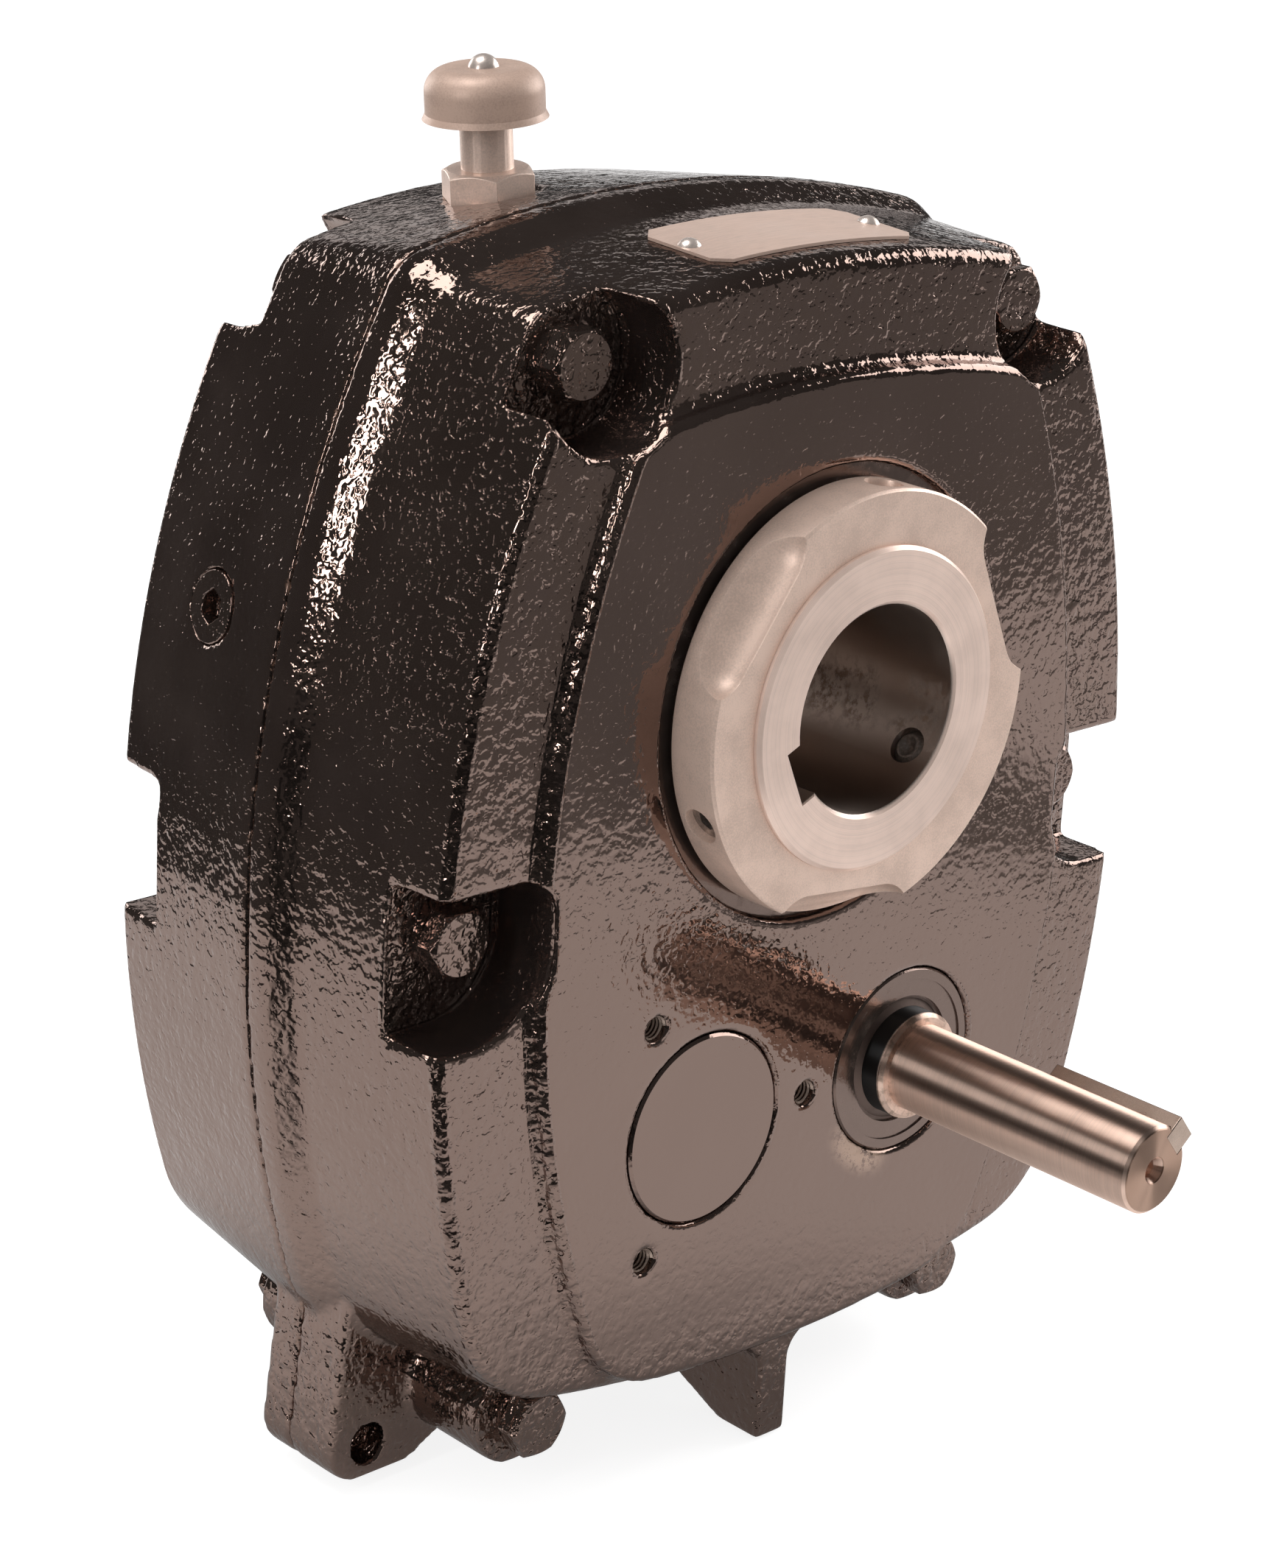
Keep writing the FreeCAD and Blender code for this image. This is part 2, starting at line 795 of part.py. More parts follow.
def add_slot(sketch, sign):
    """A bolt pocket that runs out through the side of the casing, flat above and round below."""
    inner = middle_bolt_x - d.slot_reach
    outside = side_half_width + 2 * d.rim_growth
    top, low = d.slot_above - d.middle_bolt_drop, -(d.middle_bolt_drop + d.slot_below)
    corners = [
        (outside, top, 0),
        (inner, top, d.slot_top_corner),
        (inner, low, d.slot_low_corner),
        (outside, low, 0),
    ]
    add_rounded(sketch, [(sign * u, v, radius) for u, v, radius in corners])


def core(name, side):
    """The hollow of one half: inside the wall, round the bearing housings and the bolt columns."""
    front = side < 0
    body = new_body(name + "_hollow")
    sketch = new_sketch(body, name + "_hollow_outline")
    add_outline(sketch, hollow_form)
    pad(body, sketch, half - d.end_wall, reverse=not front)

    def standing(part, radius, x, z, start):
        """A cylinder from this distance off the joint out to the end wall."""
        length = half - start
        return cylinder(f"{name}_{part}", radius, length, x, -half if front else start, z)

    wall = d.housing_wall
    islands = [
        standing("hub_housing", hub_bearing_radius + wall, 0, 0, hub_bearing_start),
        standing("lay_housing", lay_bearing_radius + wall, -axle_x, axle_z, lay_bearing_start),
        standing("input_housing", input_bearing_radius + wall, axle_x, axle_z, input_bearing_start),
    ]
    for index, (x, z) in enumerate(bolt_places, start=1):
        behind_seat = d.bolt_seat - wall
        islands.append(standing(f"column{index}", d.column_radius, x, z, as_size(0)))
        islands.append(standing(f"scoop{index}", d.pocket_radius + wall, x, z, behind_seat))
    return cut(name + "_core", body, fuse(name + "_islands", islands))


def bore_tool(name, side, x, z, profile):
    """A turned cutter for a stepped bore; the profile runs from the joint outwards."""
    body = turned(name, [(radius, side * y) for radius, y in profile])
    return place(body, x, 0, z)


def machining(name, side):
    """Everything that is bored or drilled in one half."""
    front = side < 0
    past = half + d.face_step
    bearing_seat, seal = hub_bearing_radius, hub_seal_radius
    broken = d.bore_chamfer
    hub_profile = [
        (0, 0),
        (bearing_seat, 0),
        (bearing_seat, hub_bearing_end),
        (bearing_seat - d.housing_wall / 2, hub_bearing_end),
        (bearing_seat - d.housing_wall / 2, hub_seal_start),
        (seal, hub_seal_start),
        (seal, half - broken),
        (seal + broken, half),
        (seal + broken, past),
        (0, past),
    ]

    def plain_profile(radius):
        return [
            (0, 0),
            (radius, 0),
            (radius, half - broken),
            (radius + broken, half),
            (radius + broken, past),
            (0, past),
        ]

    inner, outer = input_bearing_radius, input_seal_radius
    input_profile = [
        (0, 0),
        (inner, 0),
        (inner, input_bearing_end),
        (outer - d.housing_wall / 2, input_bearing_end),
        (outer - d.housing_wall / 2, input_seal_start),
        (outer, input_seal_start),
        (outer, half - broken),
        (outer + broken, half),
        (outer + broken, past),
        (0, past),
    ]
    disc_profile = plain_profile(lay_bearing_radius)
    tools = [
        bore_tool(name + "_hub_bore", side, 0, 0, hub_profile),
        bore_tool(name + "_lay_bore", side, -axle_x, axle_z, disc_profile),
        bore_tool(name + "_input_bore", side, axle_x, axle_z, input_profile if front else disc_profile),
    ]

    def drilled(part, radius, x, z, start, length):
        return cylinder(f"{name}_{part}", radius, length, x, -start - length if front else start, z)

    for index, (x, z) in enumerate(bolt_places, start=1):
        tools.append(drilled(f"bolt_hole{index}", d.bolt_diameter / 2 + d.bolt_clearance, x, z,
                             as_size(0), past))
    spot_face = d.bolt_flats / (2 * SINE_60) + d.head_clearance
    for sign, hand in ((-1, "left"), (1, "right")):
        tools.append(drilled(f"{hand}_spot_face", spot_face, sign * lower_bolt_x, -lower_bolt_drop,
                             d.bolt_seat, past - d.bolt_seat))
        tools.append(drilled(f"{hand}_lug_hole", d.lug_hole / 2, sign * lug_hole_x, -lug_hole_drop,
                             as_size(0), d.front_lug if front else d.rear_lug))
        tools.append(drilled(f"{hand}_dowel_hole", d.dowel_diameter / 2, sign * dowel_x, d.dowel_z,
                             as_size(0), d.dowel_length / 2))
    if front:
        for index, (x, z) in enumerate(backstop_places(), start=1):
            tools.append(drilled(f"backstop_hole{index}", d.backstop_hole / 2, x, z,
                                 half - d.backstop_depth, d.backstop_depth))
    else:
        tools += fitting_holes()
    return fuse(name + "_machining", tools)


def backstop_places():
    """Three tapped holes evenly round the front end of the layshaft."""
    reach = d.backstop_circle / 2
    rise = reach * math.sin(math.radians(120))
    return [
        (reach - axle_x, axle_z),
        (-axle_x - reach / 2, axle_z + rise),
        (-axle_x - reach / 2, axle_z - rise),
    ]


dowel_x = side_half_width - d.dowel_inset

# Places of the vent and of the oil plugs, worked out from the drafted rear wall


def rear_growth(y):
    """How far the rear wall stands outside the shoulder outline at this distance from the joint."""
    return (shoulder.value - y) * rear_slope.value


vent_tilt = math.degrees(math.asin(d.vent_x.value / d.crown_radius.value))
vent_turn = FreeCAD.Rotation(Y_AXIS, -vent_tilt)
vent_centre = FreeCAD.Vector(0, d.vent_y.value, crown_height.value - d.crown_radius.value)
vent_seat = d.crown_radius.value + rear_growth(d.vent_y.value + d.vent_flats.value / 2)
plug_rise = math.degrees(math.asin((d.plug_z.value + d.side_drop.value) / d.side_radius.value))


def vent_place(extra=UPRIGHT):
    """The vent's placement: on its seat, with local Z along its axis."""
    base = vent_centre + vent_turn.multVec(FreeCAD.Vector(0, 0, vent_seat))
    return FreeCAD.Placement(base, vent_turn.multiply(extra))


def plug_places():
    """Placements of the oil plugs: left side, right side and base, with local Z pointing outwards."""
    y = d.plug_y.value
    found = []
    side_x = side_half_width.value - d.side_radius.value
    rise = math.radians(plug_rise)
    for sign in (-1, 1):
        centre = FreeCAD.Vector(sign * side_x, y, -d.side_drop.value)
        outward = FreeCAD.Vector(sign * math.cos(rise), 0, math.sin(rise))
        found.append((centre, outward, d.side_radius.value))
    base_centre = FreeCAD.Vector(0, y, d.base_radius.value - base_drop.value)
    below = FreeCAD.Vector(d.drain_x.value, 0, -d.base_radius.value).normalize()
    found.append((base_centre, below, d.base_radius.value))
    places = []
    for centre, outward, radius in found:
        base = centre + outward * (radius + rear_growth(y))
        leaning = (outward + Y_AXIS * rear_slope.value).normalize()
        places.append(FreeCAD.Placement(base, FreeCAD.Rotation(FreeCAD.Vector(0, 0, 1), leaning)))
    return places


def fitting_holes():
    """Cutters for the vent's spot face and thread and for the oil plugs."""
    spigot = cylinder("vent_hole", d.vent_spigot / 2 + d.seat_clearance, d.vent_spigot_length + d.vent_hex,
                      0, 0, -d.vent_spigot_length, UPRIGHT)
    spot_face = cylinder("vent_spot_face", d.vent_flats * 0.65, d.vent_hex, turn=UPRIGHT)
    cutter = fuse("vent_cutter", [spigot, spot_face])
    cutter.Placement = vent_place()
    cutters = [cutter]
    for index, spot in enumerate(plug_places(), start=1):
        hole = doc.addObject("Part::Cylinder", f"plug_hole{index}")
        bind(hole, "Radius", d.plug_diameter / 2 + d.seat_clearance)
        bind(hole, "Height", d.plug_length * 2)
        sunk = FreeCAD.Placement(FreeCAD.Vector(0, 0, -d.plug_length.value), UPRIGHT)
        hole.Placement = spot.multiply(sunk)
        cutters.append(hole)
    return cutters


def casing_half(name, side):
    hollowed = cut(name + "_hollowed", casting(name, side), core(name, side))
    node(name, cut(name + "_cut", hollowed, machining(name, side)))


# Turning and hexagon helpers for the pieces inside and on the casing

RADIAL_Z = 90
SINE_60 = math.sin(math.radians(60))


def swung(angle, u, w):
    """Turns a point (u outwards, w sideways) about the Y axis to this angle; gives x and z."""
    cosine, sine = math.cos(math.radians(angle)), math.sin(math.radians(angle))
    u, w = as_size(u), as_size(w)
    return u * cosine - w * sine, u * sine + w * cosine


def radial(angle):
    """A rotation that points local Z outwards at this angle round the Y axis."""
    return FreeCAD.Rotation(Y_AXIS, RADIAL_Z - angle)


def radial_hole(name, angle, radius, inner, outer, y, x=0, z=0):
    """A cylinder that points outwards at an angle, from one radius to another."""
    side_x, side_z = swung(angle, inner, 0)
    return cylinder(name, radius, outer - inner, x + side_x, y, z + side_z, radial(angle))


def radial_block(name, angle, inner, outer, width, start, end, x=0, z=0):
    """A bar along Y with its height pointing outwards at an angle, such as a key or its slot."""
    side_x, side_z = swung(angle, inner, -width / 2)
    return block(name, outer - inner, end - start, width, x + side_x, start, z + side_z, about_y(angle))


def hexagon(name, flats, height, broken_ends):
    """A hexagon bar end with its corners turned off; broken_ends lists 'top', 'base' or both."""
    bar = doc.addObject("Part::Prism", name + "_bar")
    bar.Polygon = 6
    bind(bar, "Circumradius", flats / (2 * SINE_60))
    bind(bar, "Height", height)
    shaped = bar
    slope = 1 / math.tan(math.radians(30))
    for end in broken_ends:
        cone = doc.addObject("Part::Cone", f"{name}_{end}_cone")
        narrow, wide = flats * 0.475, flats * 0.475 + height * slope
        bind(cone, "Radius1", wide if end == "top" else narrow)
        bind(cone, "Radius2", narrow if end == "top" else wide)
        bind(cone, "Height", height)
        shaped = common(f"{name}_{end}_broken", shaped, cone)
    return shaped


def socket(name, flats, depth, z):
    """A hexagon socket that goes down from this height."""
    bar = doc.addObject("Part::Prism", name)
    bar.Polygon = 6
    bind(bar, "Circumradius", flats / (2 * SINE_60))
    bind(bar, "Height", depth)
    return place(bar, 0, 0, z - depth)


# Gears

def involute(angle):
    return math.tan(angle) - angle


def gear(name, teeth, module, start, end, tooth_at):
    """A spur gear along Y with a tooth centred at this angle; its flanks are chords of the involute."""
    count = round(teeth.value)
    pitch = module.value * count / 2
    base = pitch * math.cos(PRESSURE_ANGLE)
    radii = [pitch - DEDENDUM * module.value, pitch, pitch + ADDENDUM * module.value]
    at_pitch = math.pi / (2 * count) - d.backlash.value / (4 * pitch)
    flank = []
    for radius in radii:
        rolled = involute(math.acos(base / radius)) if radius > base else 0.0
        flank.append((radius, at_pitch + involute(PRESSURE_ANGLE) - rolled))
    points = []
    for index in range(count):
        middle = math.radians(tooth_at) + 2 * math.pi * index / count
        side = [(radius, middle - spread_angle) for radius, spread_angle in flank]
        side += [(radius, middle + spread_angle) for radius, spread_angle in reversed(flank)]
        points += [
            FreeCAD.Vector(radius * math.cos(angle), start.value, radius * math.sin(angle))
            for radius, angle in side
        ]
    face = Part.Face(Part.makePolygon(points + points[:1]))
    item = doc.addObject("Part::Feature", name)
    item.Shape = face.extrude(Y_AXIS * (end.value - start.value))
    return item


# Output hub, its gear and its collars

hub_end = half + d.hub_projection
collar_radius = hub_seal_radius - d.collar_gap
collar_front = hub_end - d.collar_inset
collar_back = collar_front - d.collar_width
collar_middle = (collar_front + collar_back) / 2
grub_angles = [d.hub_angle.value + turn for turn in (0, 120, 240)]
scallop_angles = [angle + 60 for angle in grub_angles]
gear_key_angle = d.hub_angle.value + HALF_TURN
layshaft_direction = math.degrees(math.atan2(axle_z.value, -axle_x.value))


def gear_key(name, angle, seat, start, end, play, x=0, z=0):
    """A key sunk half into its shaft, or its slot when play is added."""
    reach = d.gear_key_height / 2 + play
    width = d.gear_key_width + 2 * play
    return radial_block(name, angle, seat - reach, seat + reach, width, start, end, x, z)


def output_hub():
    bore, outer, middle, flange = d.hub_bore / 2, hub_radius, hub_middle, hub_flange
    broken = d.shaft_chamfer
    blank = turned("hub_blank", [
        (bore + broken, -hub_end),
        (outer - broken, -hub_end),
        (outer, broken - hub_end),
        (outer, -hub_bearing_start),
        (middle, -hub_bearing_start),
        (middle, flange_start),
        (flange, flange_start),
        (flange, second_gear_start),
        (middle, second_gear_start),
        (middle, hub_bearing_start),
        (outer, hub_bearing_start),
        (outer, hub_end - broken),
        (outer - broken, hub_end),
        (bore + broken, hub_end),
        (bore, hub_end - broken),
        (bore, broken - hub_end),
    ])
    past = hub_end + broken
    keyway_floor = bore + d.hub_key_depth
    play = d.seat_clearance
    tools = [
        radial_block("hub_keyway", d.hub_angle.value, bore / 2, keyway_floor, d.hub_key_width, -past, past),
        gear_key("hub_gear_slot", gear_key_angle, middle, second_gear_start, second_gear_end, play),
    ]
    for side, end in ((-1, "front"), (1, "rear")):
        for index, angle in enumerate(grub_angles, start=1):
            tools.append(radial_hole(f"hub_{end}_screw_hole{index}", angle, d.grub_diameter / 2 + play,
                                     bore / 2, outer + broken, side * collar_middle))
    node("output_hub", cut("output_hub", blank, fuse("hub_cuts", tools)))


def output_gear():
    middle = hub_middle
    start, end = second_gear_start, second_gear_end
    teeth = gear("output_gear_blank", d.second_gear_teeth, d.second_module, start, end, layshaft_direction)
    tools = [
        cylinder("output_gear_bore", middle + d.seat_clearance, d.second_gear_width, 0, start, 0),
        gear_key("output_gear_slot", gear_key_angle, middle, start, end, d.seat_clearance),
    ]
    node("output_gear", cut("output_gear", teeth, fuse("output_gear_cuts", tools)))
    node("output_gear_key", gear_key("output_gear_key", gear_key_angle, middle, start, end, as_size(0)))


def collar(name, side):
    inner, outer = hub_radius + d.seat_clearance, collar_radius
    low, high = (-collar_front, -collar_back) if side < 0 else (collar_back, collar_front)
    blank = ring(name + "_blank", inner, outer, low, high, d.bore_chamfer)
    tools = []
    reach, run = outer + d.scallop_outset, d.scallop_run / 2
    y = side * (collar_front + d.scallop_lift)
    for index, angle in enumerate(scallop_angles, start=1):
        x, z = swung(angle, reach, -run)
        tools.append(cylinder(f"{name}_scallop{index}", d.scallop_radius, d.scallop_run,
                              x, y, z, about_y(angle)))
        for end, along in (("start", -run), ("end", run)):
            ball = doc.addObject("Part::Sphere", f"{name}_scallop{index}_{end}")
            bind(ball, "Radius", d.scallop_radius)
            x, z = swung(angle, reach, along)
            tools.append(place(ball, x, y, z))
    for index, angle in enumerate(grub_angles, start=1):
        tools.append(radial_hole(f"{name}_screw_hole{index}", angle, d.grub_diameter / 2 + d.seat_clearance,
                                 inner / 2, outer + d.grub_depth, side * collar_middle))
    node(name, cut(name, blank, fuse(name + "_cuts", tools)))


def collar_set_screws():
    inner = d.hub_bore / 2 + d.screw_clearance
    length = collar_radius - d.grub_depth - inner
    shank, point = d.grub_diameter / 2, d.grub_point_length
    blank = fuse("set_screw_blank", [
        cone("set_screw_point", d.grub_point / 2, shank, point),
        cylinder("set_screw_shank", shank, length - point, 0, 0, point, UPRIGHT),
    ])
    screw = cut("set_screw", blank, fuse("set_screw_ends", [
        cone("set_screw_cup", d.grub_cup / 2, d.grub_cup / 8, d.grub_cup_depth),
        socket("set_screw_socket", d.grub_socket, d.grub_socket, length),
    ]))
    places = []
    for side in (-1, 1):
        for angle in grub_angles:
            x, z = swung(angle, inner, 0)
            places.append((x, side * collar_middle, z, radial(angle)))
    spread("collar_set_screws", screw, places)


# Seals, bearings and discs

def hub_seal(name, side):
    outer = hub_seal_radius - d.seat_clearance
    lip = hub_radius + d.running_clearance
    shell = d.housing_wall / 4
    body = turned(name, [
        (lip + shell, side * hub_seal_end),
        (outer, side * hub_seal_end),
        (outer, side * hub_seal_start),
        (outer - shell, side * hub_seal_start),
        (outer - shell, side * (hub_seal_end - shell)),
        (lip + 2 * shell, side * (hub_seal_end - shell)),
        (lip + shell, side * (hub_seal_start + shell)),
        (lip, side * (hub_seal_start + 2 * shell)),
        (lip, side * (hub_seal_end - shell)),
    ])
    node(name, body)


def input_seal():
    outer = input_seal_radius - d.seat_clearance
    lip = input_collar + d.running_clearance
    shell = d.input_seal_width / 7
    low, high = -half, -input_seal_start
    body = turned("input_seal", [
        (lip, low + shell),
        (lip + 2 * shell, low + 2 * shell),
        (lip + 3 * shell, low + 2 * shell),
        (lip + 3 * shell, low + shell),
        (outer - 3 * shell, low + shell),
        (outer - 3 * shell, low + shell / 2),
        (outer - shell / 2, low + shell / 2),
        (outer, low + shell),
        (outer, high),
        (outer - shell, high),
        (outer - shell, low + 2 * shell),
        (lip + 4 * shell, low + 3 * shell),
        (lip + shell, high),
        (lip, high - shell),
    ])
    node("input_seal", place(body, axle_x, 0, axle_z))


def bearing(name, bore, outer, start, end, roller_size, rollers, x=0, z=0):
    """A roller bearing: outer ring, inner ring and the rollers between them."""
    play = d.seat_clearance
    roller_radius = roller_size / 2
    roller_circle = (bore + outer) / 2
    inner_track = roller_circle - roller_radius - d.running_clearance
    outer_track = roller_circle + roller_radius + d.running_clearance
    outer_ring = ring(name + "_outer", outer_track, outer - play, start, end, d.bore_chamfer)
    inner_ring = ring(name + "_inner", bore + play, inner_track, start, end)
    node(name + "_outer", place(outer_ring, x, 0, z))
    node(name + "_inner", place(inner_ring, x, 0, z))
    inset = (end - start) / 6
    roller = cylinder(name + "_roller", roller_radius, end - start - 2 * inset, turn=UPRIGHT)
    places = []
    count = round(rollers.value)
    for index in range(count):
        side_x, side_z = swung(360 * index / count, roller_circle, 0)
        places.append((x + side_x, start + inset, z + side_z, ALONG_Y))
    spread(name + "_rollers", roller, places)


def end_disc(name, side, x):
    """A plain disc pressed into the casing, flush with the face, that closes a shaft's bore."""
    low, high = (-half, -disc_start) if side < 0 else (disc_start, half)
    body = ring(name, as_size(0), lay_bearing_radius - d.seat_clearance, low, high, d.bore_chamfer)
    node(name, place(body, x, 0, axle_z))


# Layshaft and input shaft

pinion_start = second_gear_start - d.pinion_overhang
pinion_end = second_gear_end + d.pinion_overhang
input_pinion_start = first_gear_start - d.pinion_overhang
input_pinion_end = first_gear_end + d.pinion_overhang


def half_tooth(teeth):
    return HALF_TURN / teeth.value


def layshaft():
    journal, shoulder_radius, seat = d.lay_journal / 2, lay_shoulder, lay_gear_seat
    broken = d.shaft_chamfer
    blank = turned("layshaft_blank", [
        (0, -lay_bearing_end),
        (journal - broken, -lay_bearing_end),
        (journal, broken - lay_bearing_end),
        (journal, -lay_bearing_start),
        (shoulder_radius, -lay_bearing_start),
        (shoulder_radius, first_gear_start),
        (seat, first_gear_start),
        (seat, pinion_end),
        (shoulder_radius, pinion_end),
        (shoulder_radius, lay_bearing_start),
        (journal, lay_bearing_start),
        (journal, lay_bearing_end - broken),
        (journal - broken, lay_bearing_end),
        (0, lay_bearing_end),
    ])
    pinion_tooth = layshaft_direction + HALF_TURN + half_tooth(d.second_pinion_teeth)
    teeth = gear("layshaft_pinion", d.second_pinion_teeth, d.second_module,
                 pinion_start, pinion_end, pinion_tooth)
    shaft = fuse("layshaft_turned", [blank, teeth])
    slot = gear_key("layshaft_slot", RADIAL_Z, seat, first_gear_start, first_gear_end, d.seat_clearance)
    cut_shaft = cut("layshaft", shaft, slot)
    node("layshaft", place(cut_shaft, -axle_x, 0, axle_z))
    key = gear_key("layshaft_gear_key", RADIAL_Z, seat, first_gear_start, first_gear_end, as_size(0),
                   -axle_x, axle_z)
    node("layshaft_gear_key", key)
    spacer = ring("layshaft_spacer", shoulder_radius + d.seat_clearance, seat + d.gear_key_height / 2,
                  -lay_bearing_start, first_gear_start)
    node("layshaft_spacer", place(spacer, -axle_x, 0, axle_z))


def layshaft_gear():
    seat = lay_gear_seat
    teeth = gear("layshaft_gear_blank", d.first_gear_teeth, d.first_module,
                 first_gear_start, first_gear_end, half_tooth(d.first_gear_teeth))
    length = pinion_start - first_gear_start
    boss = cylinder("layshaft_gear_boss", seat + d.gear_key_height, length, 0, first_gear_start, 0)
    blank = fuse("layshaft_gear_teeth", [teeth, boss])
    tools = [
        cylinder("layshaft_gear_bore", seat + d.seat_clearance, length, 0, first_gear_start, 0),
        gear_key("layshaft_gear_slot", RADIAL_Z, seat, first_gear_start, pinion_start, d.seat_clearance),
    ]
    cut_gear = cut("layshaft_gear", blank, fuse("layshaft_gear_cuts", tools))
    node("layshaft_gear", place(cut_gear, -axle_x, 0, axle_z))


def input_shaft():
    reach, nose, broken = input_reach, d.input_diameter / 2, d.shaft_chamfer
    shoulder_radius, journal = input_collar, d.lay_journal / 2
    middle = first_pinion_root - d.pinion_relief
    drill = d.centre_drill / 2
    step = d.gear_gap * 2
    blank = turned("input_blank", [
        (0, drill * 3 - reach),
        (drill, drill * 2 - reach),
        (drill, drill - reach),
        (drill * 1.5, -reach),
        (nose - broken, -reach),
        (nose, broken - reach),
        (nose, -input_collar_reach),
        (shoulder_radius - broken, -input_collar_reach),
        (shoulder_radius, broken - input_collar_reach),
        (shoulder_radius, -input_bearing_start),
        (shoulder_radius + step / 2, -input_bearing_start),
        (shoulder_radius + step / 2, step - input_bearing_start),
        (middle, step - input_bearing_start),
        (middle, lay_bearing_start),
        (journal, lay_bearing_start),
        (journal, lay_bearing_end - broken),
        (journal - broken, lay_bearing_end),
        (0, lay_bearing_end),
    ])
    teeth = gear("input_pinion", d.first_pinion_teeth, d.first_module,
                 input_pinion_start, input_pinion_end, HALF_TURN)
    shaft = fuse("input_turned", [blank, teeth])
    angle = d.input_key_angle.value
    floor = nose - d.input_key_depth
    play = d.seat_clearance
    slot = radial_block("input_keyway", angle, floor - play, nose + d.input_key_height,
                        d.input_key_width + 2 * play, -reach - broken, d.input_keyway_length - reach)
    node("input_shaft", place(cut("input_shaft", shaft, slot), axle_x, 0, axle_z))
    key = radial_block("input_key", angle, floor, floor + d.input_key_height, d.input_key_width,
                       -reach, d.input_key_length - reach, axle_x, axle_z)
    node("input_key", key)


# Fasteners and dowels

def casing_bolts():
    seat = -(d.bolt_seat + d.washer_thickness)
    head = place(hexagon("bolt_head", d.bolt_flats, d.bolt_head, ["base"]), 0, 0, -d.bolt_head)
    shank_length = 2 * d.bolt_seat + d.washer_thickness + d.nut_height + d.bolt_end
    shank = cylinder("bolt_shank", d.bolt_diameter / 2, shank_length, turn=UPRIGHT)
    bolt = fuse("bolt", [head, shank])
    spread("casing_bolts", bolt, [(x, seat, z, ALONG_Y) for x, z in bolt_places])

    thick = d.washer_thickness
    blank = cylinder("washer_blank", d.washer_diameter / 2, thick, turn=UPRIGHT)
    washer_cuts = fuse("washer_cuts", [
        cylinder("washer_hole", d.bolt_diameter / 2 + d.screw_clearance, thick, turn=UPRIGHT),
        block("washer_gap", d.washer_diameter, d.washer_split, thick, 0, -d.washer_split / 2, 0),
    ])
    washer = cut("split_washer", blank, washer_cuts)
    spread("spring_washers", washer, [(x, seat, z, ALONG_Y) for x, z in bolt_places])

    nut = cut("nut", hexagon("nut_blank", d.bolt_flats, d.nut_height, ["top", "base"]),
              cylinder("nut_hole", d.bolt_diameter / 2 + d.seat_clearance, d.nut_height, turn=UPRIGHT))
    spread("casing_nuts", nut, [(x, d.bolt_seat, z, ALONG_Y) for x, z in bolt_places])


def dowel_pins():
    pin = cylinder("dowel", d.dowel_diameter / 2 - d.seat_clearance, d.dowel_length, turn=UPRIGHT)
    places = [(sign * dowel_x, -d.dowel_length / 2, d.dowel_z, ALONG_Y) for sign in (-1, 1)]
    spread("dowel_pins", pin, places)


# Vent, oil plugs and nameplate

TO_LOCAL_Z = FreeCAD.Rotation(FreeCAD.Vector(1, 0, 0), 90)


def outer_edge_at(y, radius):
    """A test for the circle of this radius at this height on a turned piece."""
    def test(edge):
        box = edge.BoundBox
        return on_plane(y)(edge) and abs(box.XMax - radius) < 0.01
    return test


def vent():
    stem, spigot = d.vent_stem / 2, d.vent_spigot / 2
    pin = d.vent_rivet / 4
    cap_base = d.vent_hex + d.vent_stem_length
    cap_top = cap_base + d.vent_cap_height
    stem_top = cap_top - d.vent_cap_wall
    turned_part = turned("vent_stem", [
        (0, -d.vent_spigot_length),
        (spigot, -d.vent_spigot_length),
        (spigot, 0),
        (stem, d.vent_hex / 2),
        (stem, stem_top),
        (pin + d.seat_clearance, stem_top),
        (pin + d.seat_clearance, cap_base),
        (0, cap_base),
    ])
    turned_part.Placement = FreeCAD.Placement(FreeCAD.Vector(), TO_LOCAL_Z)
    body = fuse("vent_body", [hexagon("vent_hexagon", d.vent_flats, d.vent_hex, ["top"]), turned_part])
    node("vent_body", body)
    body.Placement = vent_place()

    rim, side = d.vent_cap / 2, d.vent_cap / 2 - d.vent_cap_wall / 2
    wall = d.vent_cap_wall
    cap = turned("vent_cap", [
        (rim - wall, cap_base),
        (rim, cap_base),
        (side, cap_base + wall),
        (side, cap_top),
        (pin + d.seat_clearance, cap_top),
        (pin + d.seat_clearance, cap_top - wall),
        (side - wall, cap_top - wall),
        (side - wall, cap_base + wall),
    ])
    bend = d.vent_cap_round
    round_edges(cap, bend, outer_edge_at(cap_top.value, side.value))
    round_edges(cap, bend - wall, outer_edge_at((cap_top - wall).value, (side - wall).value))
    node("vent_cap", cap)
    cap.Placement = vent_place(TO_LOCAL_Z)

    shank = d.vent_cap_height / 2
    rivet = fuse("vent_rivet", [
        cylinder("vent_rivet_pin", pin, shank, 0, 0, cap_top - shank, UPRIGHT),
        dome("vent_rivet_head", d.vent_rivet / 2, d.vent_rivet_height, cap_top),
    ])
    node("vent_rivet", rivet)
    rivet.Placement = vent_place()


def oil_plugs():
    blank = cylinder("plug_blank", d.plug_diameter / 2, d.plug_length, turn=UPRIGHT)
    plug = cut("plug", blank, socket("plug_recess", d.plug_socket, d.plug_socket * 0.6, d.plug_length))
    group = []
    for index, spot in enumerate(plug_places(), start=1):
        copy = doc.addObject("App::Link", f"oil_plug_{index}")
        copy.LinkedObject = plug
        sunk = FreeCAD.Placement(FreeCAD.Vector(0, 0, -d.plug_length.value), UPRIGHT)
        copy.Placement = spot.multiply(sunk)
        group.append(copy)
    plugs = doc.addObject("Part::Compound", "oil_plugs")
    plugs.Links = group
    node("oil_plugs", plugs)


